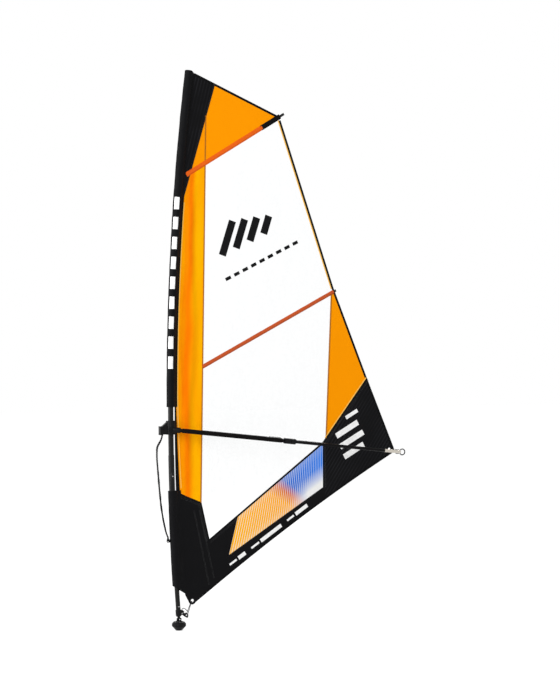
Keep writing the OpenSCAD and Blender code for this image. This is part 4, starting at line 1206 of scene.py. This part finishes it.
def luff_cloth():
    piece = copy_of("luff_panel", "luff_panel_cloth")
    keep_near_face(piece)
    area = sum(face.area for face in piece.data.polygons)
    on_all(piece, bpy.ops.mesh.tris_convert_to_quads, face_threshold=math.pi, shape_threshold=math.pi)
    modify(piece, "SUBSURF", levels=2, render_levels=2, boundary_smooth="PRESERVE_CORNERS")
    for vertex in piece.data.vertices:
        x, z = vertex.co.x, vertex.co.z
        still = min(distance_to(route, Vector((x, 0, z))) for route in SEAMS.values())
        pucker = noise.noise(Vector((x * 14, 5.0, z * 22)))
        vertex.co.y += PUCKER_LIFT + PUCKER * pucker * ease(still, 0.0, 0.05)
    # painted shade and light: how lit each vertex is painted, by its place across the panel
    painted_fold_light = piece.data.attributes.new("painted_fold_light", "FLOAT", "POINT")
    for vertex, value in zip(piece.data.vertices, painted_fold_light.data):
        value.value = max(0.0, min(1.0, painted_fold_light_at(vertex.co.x, vertex.co.z)))
    thicken(piece, CLOTH)
    dress(piece, luff_orange_painted_folds, "luff_panel", ["luff_panel"])
    declare_cloth(piece, area)


luff_cloth()

# %% [markdown]
# The luff sleeves follow the mast. A sleeve is a strip of cloth folded round the mast and sewn shut behind
# it, with a narrow flange on each face of the panel, so its section is a drop: round in front, straight to
# the seam. The grid's columns go round that drop and its rows go up the mast. Tension lines make it
# slightly uneven, and the upper sleeve's top is cut along the slope of the head.

# %% Luff sleeves
SLEEVE_FRONT = 0.0322
SLEEVE_CREASE = 0.0016
FLANGE = 0.008
FLANGE_LIFT = 0.0010
HEAD_SLOPE = 0.40
HEAD_FLAT = 0.012
HEAD_TOP = 4.313
FOOT_SLEEVE = 0.347, 0.274
FRONT_STEPS = 48
UPPER_COLUMNS, UPPER_ROWS = 44, 150
LOWER_COLUMNS, LOWER_ROWS = 48, 60


def drop_section(back, columns):
    """Evenly spaced points round a sleeve, from one flange round the front to the other, and the girth."""
    touch = math.acos(SLEEVE_FRONT / back)
    turn = [touch + (2 * math.pi - 2 * touch) * i / FRONT_STEPS for i in range(FRONT_STEPS + 1)]
    front = [Vector((-math.cos(a), math.sin(a))) * SLEEVE_FRONT for a in turn]
    port = [Vector((-back - FLANGE, FLANGE_LIFT)), Vector((-back, 1.2 * FLANGE_LIFT))]
    starboard = [Vector((-back, -1.2 * FLANGE_LIFT)), Vector((-back - FLANGE, -FLANGE_LIFT))]
    points, girth = evenly(port + front + starboard, 0.001)
    return evenly(points, girth / columns)


def sleeve_point(section, back, u, z, lift=0.0):
    """A point of the creased sleeve at a share of its girth and a height, lifted off it if asked."""
    spot = u * (len(section) - 1)
    i = min(int(spot), len(section) - 2)
    forward, side = section[i].lerp(section[i + 1], spot - i)
    share = (forward + back) / (back + SLEEVE_FRONT)
    crease = noise.noise(Vector((forward * 25, side * 25, z * 9)))
    crease += 0.6 * noise.noise(Vector((forward * 60, side * 60, z * 26 + u * 8)))
    grow = 1 + (SLEEVE_CREASE * crease * ease(share, 0.0, 0.5) + lift) / SLEEVE_FRONT
    return on_mast(z, forward * grow, side * grow)


def sleeve(node, back, low_ends, high, slope, columns, rows):
    """A sleeve from the heights of its lower end, in front and behind, up to its top."""
    section, girth = drop_section(back, columns)
    low_front, low_back = low_ends
    name = node + "_cloth"

    def place(u, v):
        forward = section[round(u * columns)].x
        share = (forward + back) / (back + SLEEVE_FRONT)
        low = low_back + (low_front - low_back) * max(share, 0.0)
        top = high - slope * max(0.0, -forward - HEAD_FLAT)
        return sleeve_point(section, back, u, low + (top - low) * v)

    piece = bent_grid(name, columns, rows, place)
    area = sum(face.area for face in piece.data.polygons)
    thicken(piece, CLOTH)
    dress(piece, black_cloth, node, [node])
    length = high - min(low_ends)
    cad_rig.sheet(piece, flat=(girth, length), held="stretched", area=min(area, girth * length))
    print("  cloth", name, round(girth, 3), round(length, 3))


sleeve("luff_sleeve_upper", BACK_HIGH, (CUT_HIGH, CUT_HIGH), HEAD_TOP, HEAD_SLOPE, UPPER_COLUMNS, UPPER_ROWS)
sleeve("luff_sleeve_lower", BACK_LOW, FOOT_SLEEVE, CUT_LOW, 0.0, LOWER_COLUMNS, LOWER_ROWS)

# %% [markdown]
# Raw edges of the sail are bound with a folded tape, half on each face. The tape is a grid whose columns
# go from one face round the edge to the other, and whose rows follow the edge. At a corner the row turns
# by half the angle, as a mitre does.

# %% Edge tapes
TAPE_W = 0.018
TAPE_OUT = 0.0006
TAPE_PROFILE = ((1.0, -1.0), (0.5, -1.05), (0.08, -1.0), (0.0, -0.6), (-0.03, 0.0), (0.0, 0.6), (0.08, 1.0),
                (0.5, 1.05), (1.0, 1.0))
TAPE_HALF = 0.0010
TAPE_STEP = 0.03
TAPE_ANGLE = 50


def inward(route, i):
    """The direction into the sail at a point of an edge that is followed with the sail on its right."""
    before = (route[i] - route[max(i - 1, 0)]).normalized()
    after = (route[min(i + 1, len(route) - 1)] - route[i]).normalized()
    ahead = (before + after).normalized()
    return Vector((ahead.z, 0, -ahead.x))


def edge_tape(name, route, node, replaced):
    points, length = evenly(route, TAPE_STEP)
    last = len(TAPE_PROFILE) - 1

    def place(u, v):
        i = round(v * (len(points) - 1))
        depth, height = TAPE_PROFILE[round(u * last)]
        flutter = 0.0003 * noise.noise(points[i] * 40)
        return points[i] + inward(points, i) * (depth * TAPE_W) + Vector((0, height * TAPE_HALF + flutter, 0))

    piece = bent_grid(name, last, len(points) - 1, place)
    modify(piece, "SOLIDIFY", thickness=TAPE_OUT / 2, offset=0.0)
    smooth(piece, TAPE_ANGLE)
    dress(piece, webbing, node, replaced)
    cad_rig.sheet(piece, flat=(2 * TAPE_W, length), held="stretched")


head_edge = [PLAN["head"].lerp(PLAN["peak"], t) for t in (0.01, 0.97)]
leech_edge = [PLAN["peak"].lerp(PLAN["leech_mid"], 0.02)]
leech_edge += plan_route("leech_mid batten_end leech_low clew_up")
foot_line = [foot_edge(0.985 - 0.955 * i / 24) for i in range(25)]
edge_tape("head_tape", head_edge, "edge_tape", ["edge_tape"])
edge_tape("leech_tape", leech_edge, "edge_tape", [])
edge_tape("foot_tape_cloth", foot_line, "foot_tape", ["foot_tape"])

# %% [markdown]
# A batten is a flat rod that keeps the sail from folding. Its pocket is a strip of cloth sewn on along both
# sides, so in section it rises from two flat flanges over the rod. Towards its front end the rise dies out.
# The upper pocket ends in a black cap at the leech, where the rod's tip looks out.

# %% Batten pockets
POCKET_W = 0.036
LOWER_W = 0.031
CAP_W = 0.040
CAP_LIFT = 0.0006
CAP_SHARE = 0.81
CAP_LAP = 0.01
CAP_PAST = 0.004
LOWER_SHORT = 0.012
UPPER_START = Vector((60, 0, 3509)) / 1000
POCKET_FLANGE = 0.0011
POCKET_RISE = 0.0050
POCKET_END = 0.03
POCKET_STEP = 0.012
POCKET_CLOTH = 0.0006
POCKET_COLUMNS = (-1.0, -0.86, -0.72, -0.62, -0.5, -0.3, 0.0, 0.3, 0.5, 0.62, 0.72, 0.86, 1.0)


def pocket_height(share, along):
    over = ease(1 - abs(share), 0.26, 0.48)
    return POCKET_FLANGE + POCKET_RISE * over * ease(along, 0.0, POCKET_END)


def pocket(name, node, start, end, material, replaced, width, lift=0.0):
    run = (end - start).normalized()
    up = rise_across(run)
    length = (end - start).length
    last = len(POCKET_COLUMNS) - 1

    def place(u, v):
        share = POCKET_COLUMNS[round(u * last)]
        along = v * length
        rise = pocket_height(share, along) + lift
        wobble = 0.0006 * noise.noise(Vector((along * 18, share * 2, 1.5)))
        spot = start + run * along + up * (share * width / 2 + wobble)
        return spot + Vector((0, -rise - 0.4 * wobble, 0))

    piece = bent_grid(name, last, round(length / POCKET_STEP), place)
    thicken(piece, POCKET_CLOTH)
    dress(piece, material, node, replaced)
    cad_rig.sheet(piece, flat=(width, length), held="stretched")


upper, lower = "batten_pocket_upper", "batten_pocket_lower"
upper_start, upper_end = UPPER_START, PLAN["peak"]
upper_run = (upper_end - upper_start).normalized()
cap_start = upper_start.lerp(upper_end, CAP_SHARE)
lower_start, lower_end = plan_route("batten_start batten_end")
lower_run = (lower_end - lower_start).normalized()
pocket(upper + "_cloth", upper, upper_start, cap_start, pocket_cloth, [upper], POCKET_W)
pocket("batten_cap_upper", upper, cap_start - upper_run * CAP_LAP, upper_end + upper_run * CAP_PAST,
       webbing, [], CAP_W, CAP_LIFT)
pocket(lower + "_cloth", lower, lower_start, lower_end - lower_run * LOWER_SHORT, pocket_dark, [lower],
       LOWER_W)

# %% [markdown]
# Where two panels meet they overlap, and a narrow tape covers the join on each face. A tape is a plane,
# scaled and turned to lie along its seam, with a little thickness. Tapes of one colour are joined into
# one object, because they are one kind of trim on the sail.

# %% Seam tapes
SEAM_TAPE = 0.0004
SEAM_LIFT, PALE_LIFT = 0.0009, 0.0012


def seam_tape(a, b, width, aside, side, lift):
    """A flat strip from a to b on one face of the sail, moved aside within the sail."""
    run = b - a
    middle = (a + b) / 2 + rise_across(run) * aside + Vector((0, side * lift, 0))
    turn = (math.pi / 2, -math.atan2(run.z, run.x), 0)
    bpy.ops.object.select_all(action="DESELECT")
    bpy.ops.mesh.primitive_plane_add(size=1, location=middle, rotation=turn)
    strip = bpy.context.object
    strip.scale = (run.length, width, 1)
    bpy.ops.object.transform_apply(location=True, rotation=True, scale=True)
    modify(strip, "SOLIDIFY", thickness=SEAM_TAPE, offset=0.0)
    return strip


def seam_tapes(name, runs, material, like, lift=SEAM_LIFT):
    """runs are (route or corner names, width, distance aside)."""
    strips = []
    for way, width, aside in runs:
        route = plan_route(way) if isinstance(way, str) else way
        for a, b in zip(route, route[1:]):
            strips += [seam_tape(a, b, width, aside, side, lift) for side in (-1, 1)]
    dress(join(name, strips), material, like)


seam_brown = woven("seam_brown", (0.40, 0.15, 0.014), 0.55, 0.1, 0.2)
seam_pale = woven("seam_pale", (0.95, 0.52, 0.10), 0.55, 0.08, 0.1)
seam_tapes("seam_tapes_brown", (
    ("head_meet seam_top seam_low", 0.011, 0.0), ("panel_top leech_corner", 0.012, 0.0),
), seam_brown, "luff_panel")
seam_tapes("seam_tapes_black", (
    ("patch_low patch_top", 0.014, 0.0), ("panel_low leech_low", 0.016, 0.0), ("notch panel_low", 0.015, 0.0),
    ("print_low print_rear", 0.010, 0.0), ("print_rear panel_low", 0.012, 0.0),
    ("print_low print_top", 0.010, 0.0), ("seam_low notch", 0.012, 0.0), ("luff_low seam_low", 0.014, 0.0),
), black_cloth, "tack_panel")
seam_tapes("seam_tapes_pale", (
    ("leech_corner leech_low", 0.008, 0.012), ("peak leech_mid", 0.008, -0.022),
    (luff_route(1.09, 3.30, 0.011, 16), 0.007, 0.0),
), seam_pale, "luff_panel", PALE_LIFT)

# %% [markdown]
# Stitches hold all this together. Sailmakers use a zigzag, since it gives when the cloth stretches. Each
# row is a thin round thread that steps from side to side along its seam, just above the cloth, on both
# faces. Rows of one colour become one mesh. The double rows down the tack panel hold a layer behind it.

# %% Stitches
THREAD_R = 0.00055
ZIG_STEP = 0.006
ZIG_WIDE = 0.0045
ON_CLOTH, ON_TAPE = 0.0012, 0.0016
TACK_ROWS = [Vector(p) / 1000 for p in ((124, 0, 915), (250, 0, 331), (169, 0, 917), (292, 0, 385))]


def zigzag(a, b, aside, side, lift):
    """A zigzag row from a to b, moved aside from it within the sail, on one face."""
    up = rise_across(b - a)
    count = max(2, round((b - a).length / ZIG_STEP))
    line = []
    for i in range(count + 1):
        spot = a.lerp(b, i / count) + up * (aside + (ZIG_WIDE / 2 if i % 2 else -ZIG_WIDE / 2))
        spot.y = belly(spot.x, spot.z) + side * lift
        line.append(spot)
    return line


def stitch_rows(name, rows, material, like):
    """rows are (a, b, aside, lift); each is sewn on both faces."""
    lines = [zigzag(a, b, aside, side, lift) for a, b, aside, lift in rows for side in (-1, 1)]
    dress(curve_mesh(name, lines, THREAD_R, 0), material, like)


def rows_along(names, asides, lift):
    route = plan_route(names)
    return [(a, b, aside, lift) for a, b in zip(route, route[1:]) for aside in asides]


grey_rows = (
    rows_along("patch_low patch_top", (-0.004, 0.004), ON_TAPE)
    + rows_along("panel_low leech_low", (-0.012, -0.020), ON_CLOTH)
    + rows_along("print_rear panel_low", (-0.010, -0.018), ON_CLOTH)
    + rows_along("luff_low seam_low notch print_top", (-0.012, -0.022), ON_CLOTH)
    + rows_along("print_low print_rear", (0.0,), ON_TAPE)
    + [(a, b, aside, ON_CLOTH) for a, b in (TACK_ROWS[:2], TACK_ROWS[2:]) for aside in (-0.004, 0.004)]
)
stitch_rows("stitches_grey", grey_rows, grey_thread, "tack_panel")
orange_rows = (
    rows_along("head_meet seam_top seam_low", (-0.003, 0.003), ON_TAPE)
    + rows_along("panel_top leech_corner", (0.0,), ON_TAPE)
)
stitch_rows("stitches_orange", orange_rows, orange_thread, "luff_panel")

# %% [markdown]
# The clew panel, the foot band, the upper window and the luff sleeve are printed. The prints here are plain
# bars, at the places where sails carry their figures and names. A bar is a small grid that follows the
# cloth, a hair above it. The clew and the foot are printed on both faces, and the clear window and the
# sleeve on the starboard side alone.

# %% Printed bars
INK = 0.0003
INK_LIFT = 0.0009
INK_STEP = 0.015
CLEW_BARS = (
    (1360, 1462, 1556, 1571, 46), (1395, 1374, 1605, 1490, 46), (1432, 1292, 1610, 1391, 46),
    (1446, 1608, 1552, 1667, 30),
)
FOOT_MARKS = (
    (0.02, 0.10, 16), (0.12, 0.20, 30), (0.27, 0.36, 16), (0.38, 0.62, 30), (0.69, 0.77, 16), (0.79, 0.93, 30),
)
FOOT_LINE = Vector((0.410, 0, 0.468)), Vector((1.150, 0, 0.950))
LEANING_FIRST = Vector((0.362, 0, 2.895))
LEANING_STEP = Vector((0.118, 0, 0.060))
LEANING_UP = Vector((0.30, 0, 0.954))
LEANING_HEIGHTS = (0.285, 0.240, 0.195, 0.150)
LEANING_W = 0.062
DASH_LINE = Vector((0.390, 0, 2.706)), Vector((1.043, 0, 3.035))
DASHES = 9
DASH_W = 0.026
DASH_SHARE = 0.6
SLEEVE_MARKS = [(2.060 + 0.153 * i, 0.094) for i in range(9)]
SLEEVE_STEP = 0.005
SLEEVE_BAND = 0.57, 0.74


def ink_grid(name, length, width, step, place):
    bar = bent_grid(name, max(2, round(length / step)), max(2, round(width / step)), place)
    modify(bar, "SOLIDIFY", thickness=INK, offset=0.0)
    return bar


def ink_bar(a, b, width, side):
    """A bar from a to b on one face of the sail."""
    run = b - a
    up = rise_across(run) * width

    def place(u, v):
        spot = a + run * u + up * (v - 0.5)
        return spot + Vector((0, belly(spot.x, spot.z) + side * INK_LIFT, 0))

    return ink_grid("ink_bar", run.length, width, INK_STEP, place)


def sleeve_bar(middle, length, section, girth):
    """A bar that lies along the upper sleeve, on its starboard front."""
    low, high = SLEEVE_BAND

    def place(u, v):
        return sleeve_point(section, BACK_HIGH, low + (high - low) * v, middle + length * (u - 0.5), INK_LIFT)

    return ink_grid("sleeve_bar", length, (high - low) * girth, SLEEVE_STEP, place)


def part_of(line, start, end):
    return line[0].lerp(line[1], start), line[0].lerp(line[1], end)


white_runs = [
    (Vector((x0, 0, z0)) / 1000, Vector((x1, 0, z1)) / 1000, width / 1000)
    for x0, z0, x1, z1, width in CLEW_BARS
]
white_runs += [(*part_of(FOOT_LINE, start, end), width / 1000) for start, end, width in FOOT_MARKS]
white_bars = [ink_bar(*run, side) for run in white_runs for side in (-1, 1)]
dress(join("print_bars", white_bars), white_ink, "print_panel")
dark_runs = []
for i, height in enumerate(LEANING_HEIGHTS):
    foot = LEANING_FIRST + LEANING_STEP * i
    dark_runs.append((foot, foot + LEANING_UP * height, LEANING_W))
for i in range(DASHES):
    dark_runs.append((*part_of(DASH_LINE, i / DASHES, (i + DASH_SHARE) / DASHES), DASH_W))
dress(join("window_bars", [ink_bar(*run, -1) for run in dark_runs]), black_ink, "tack_panel")
upper_section, upper_girth = drop_section(BACK_HIGH, UPPER_COLUMNS)
marks = [sleeve_bar(*mark, upper_section, upper_girth) for mark in SLEEVE_MARKS]
dress(join("sleeve_bars", marks), white_ink, "print_panel")

# %% [markdown]
# Between the two sleeves the luff is open, so that the boom can clamp onto the bare mast. The edge of the
# sail is doubled there, as a rounded hem. It follows the mast, and its section is a flattened loop.

# %% Hem at the boom
HEM_FRONT = 0.031
HEM_HALF = 0.0015
HEM_LOW = CUT_LOW - 0.003
HEM_COLUMNS, HEM_ROWS = 16, 60


def hem_place(u, v):
    z = HEM_LOW + (CUT_HIGH - HEM_LOW) * v
    back = luff_back(z)
    a = 2 * math.pi * u
    middle, half = -(back + HEM_FRONT) / 2, (back - HEM_FRONT) / 2
    swell = HEM_HALF * (1 + 0.25 * noise.noise(Vector((0, u * 3, z * 30))))
    return on_mast(z, middle + half * math.cos(a), swell * math.sin(a) * (0.6 + 0.4 * abs(math.sin(a))))


hem = bent_grid("cutout_hem_cloth", HEM_COLUMNS, HEM_ROWS, hem_place, closed=True)
edit(hem)
bpy.ops.mesh.select_mode(type="EDGE")
bpy.ops.mesh.select_all(action="DESELECT")
bpy.ops.mesh.select_non_manifold()
bpy.ops.mesh.fill_holes(sides=0)
leave()
smooth(hem, ROUND_ANGLE)
dress(hem, webbing, "cutout_hem", ["cutout_hem"])
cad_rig.sheet(hem, flat=((BACK_LOW + BACK_HIGH) / 2 - HEM_FRONT, CUT_HIGH - HEM_LOW), held="stretched")

# %% [markdown]
# Cast, moulded and drawn parts keep the shape of their solids. A machined model has perfectly sharp
# corners, though, and real ones never are, so each copy gets a small bevel that catches the light. The
# copy stands in for its solid, and smooth shading hides its facets.

# %% Hard parts
FACET_ANGLE = 1
EDGE_ANGLE = 30


def finished(node, material, bevel):
    piece = copy_of(node, node + "_finished")
    if bevel:
        on_all(piece, bpy.ops.mesh.dissolve_limited, angle_limit=math.radians(FACET_ANGLE))
        modify(piece, "BEVEL", width=bevel, segments=3, limit_method="ANGLE",
               angle_limit=math.radians(EDGE_ANGLE))
    smooth(piece, EDGE_ANGLE)
    return dress(piece, material, node, [node])


HARD = (
    ("base_disc", black_plastic, 0.0025), ("deck_pad", rubber, 0.0006), ("board_stud", steel, 0.0006),
    ("lower_fork", black_plastic, 0.0008), ("roll_pin", steel, 0.0004),
    ("joint_cross", black_plastic, 0.0006), ("pitch_pins", steel, 0.0004),
    ("upper_fork", black_plastic, 0.0008), ("foot_cup", black_plastic, 0.0010),
    ("release_button", grey_plastic, 0.0006), ("pulley_axle", steel, 0.0004),
    ("downhaul_sheave", pale_plastic, 0.0004), ("downhaul_cleat", black_plastic, 0.0008),
    ("extension_tube", mast_tube, 0.0), ("extension_collar", black_plastic, 0.0010),
    ("extension_button", steel, 0.0006), ("mast_section_1", mast_tube, 0.0),
    ("mast_section_2", mast_tube, 0.0), ("mast_section_3", mast_tube, 0.0),
    ("mast_section_4", mast_tube, 0.0), ("mast_cap", black_plastic, 0.0010),
    ("mast_button_1", steel, 0.0006), ("mast_button_2", steel, 0.0006), ("mast_button_3", steel, 0.0006),
    ("batten_upper", batten_rod, 0.0006), ("batten_lower", batten_rod, 0.0006),
    ("eyelets", dark_steel, 0.0006), ("uphaul_loop", webbing, 0.0008), ("boom_head", boom_plastic, 0.0022),
    ("mast_liner", rubber, 0.0005), ("clamp_lever", boom_plastic, 0.0012), ("boom_arms", dark_alloy, 0.0),
    ("boom_grips", grip_foam, 0.0010), ("arm_collars", boom_plastic, 0.0012),
    ("tail_lever_port", boom_plastic, 0.0010), ("tail_lever_starboard", boom_plastic, 0.0010),
    ("tail_legs", dark_alloy, 0.0), ("tail_yoke", bare_alloy, 0.0), ("tail_ring", dark_steel, 0.0),
)
made = {node: finished(node, material, bevel) for node, material, bevel in HARD}
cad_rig.padded(made["boom_grips"], fill=1.0)

# %% [markdown]
# The last cell writes the size of the solids and of the finished rig, so that they can be compared.

# %% Sizes and end
low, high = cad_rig.bounds()
sizes = {"cad": [list(cad_low), list(cad_high)], "visual": [list(low), list(high)]}
with open("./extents.json", "w") as file:
    json.dump(sizes, file)
print("sizes", sizes)
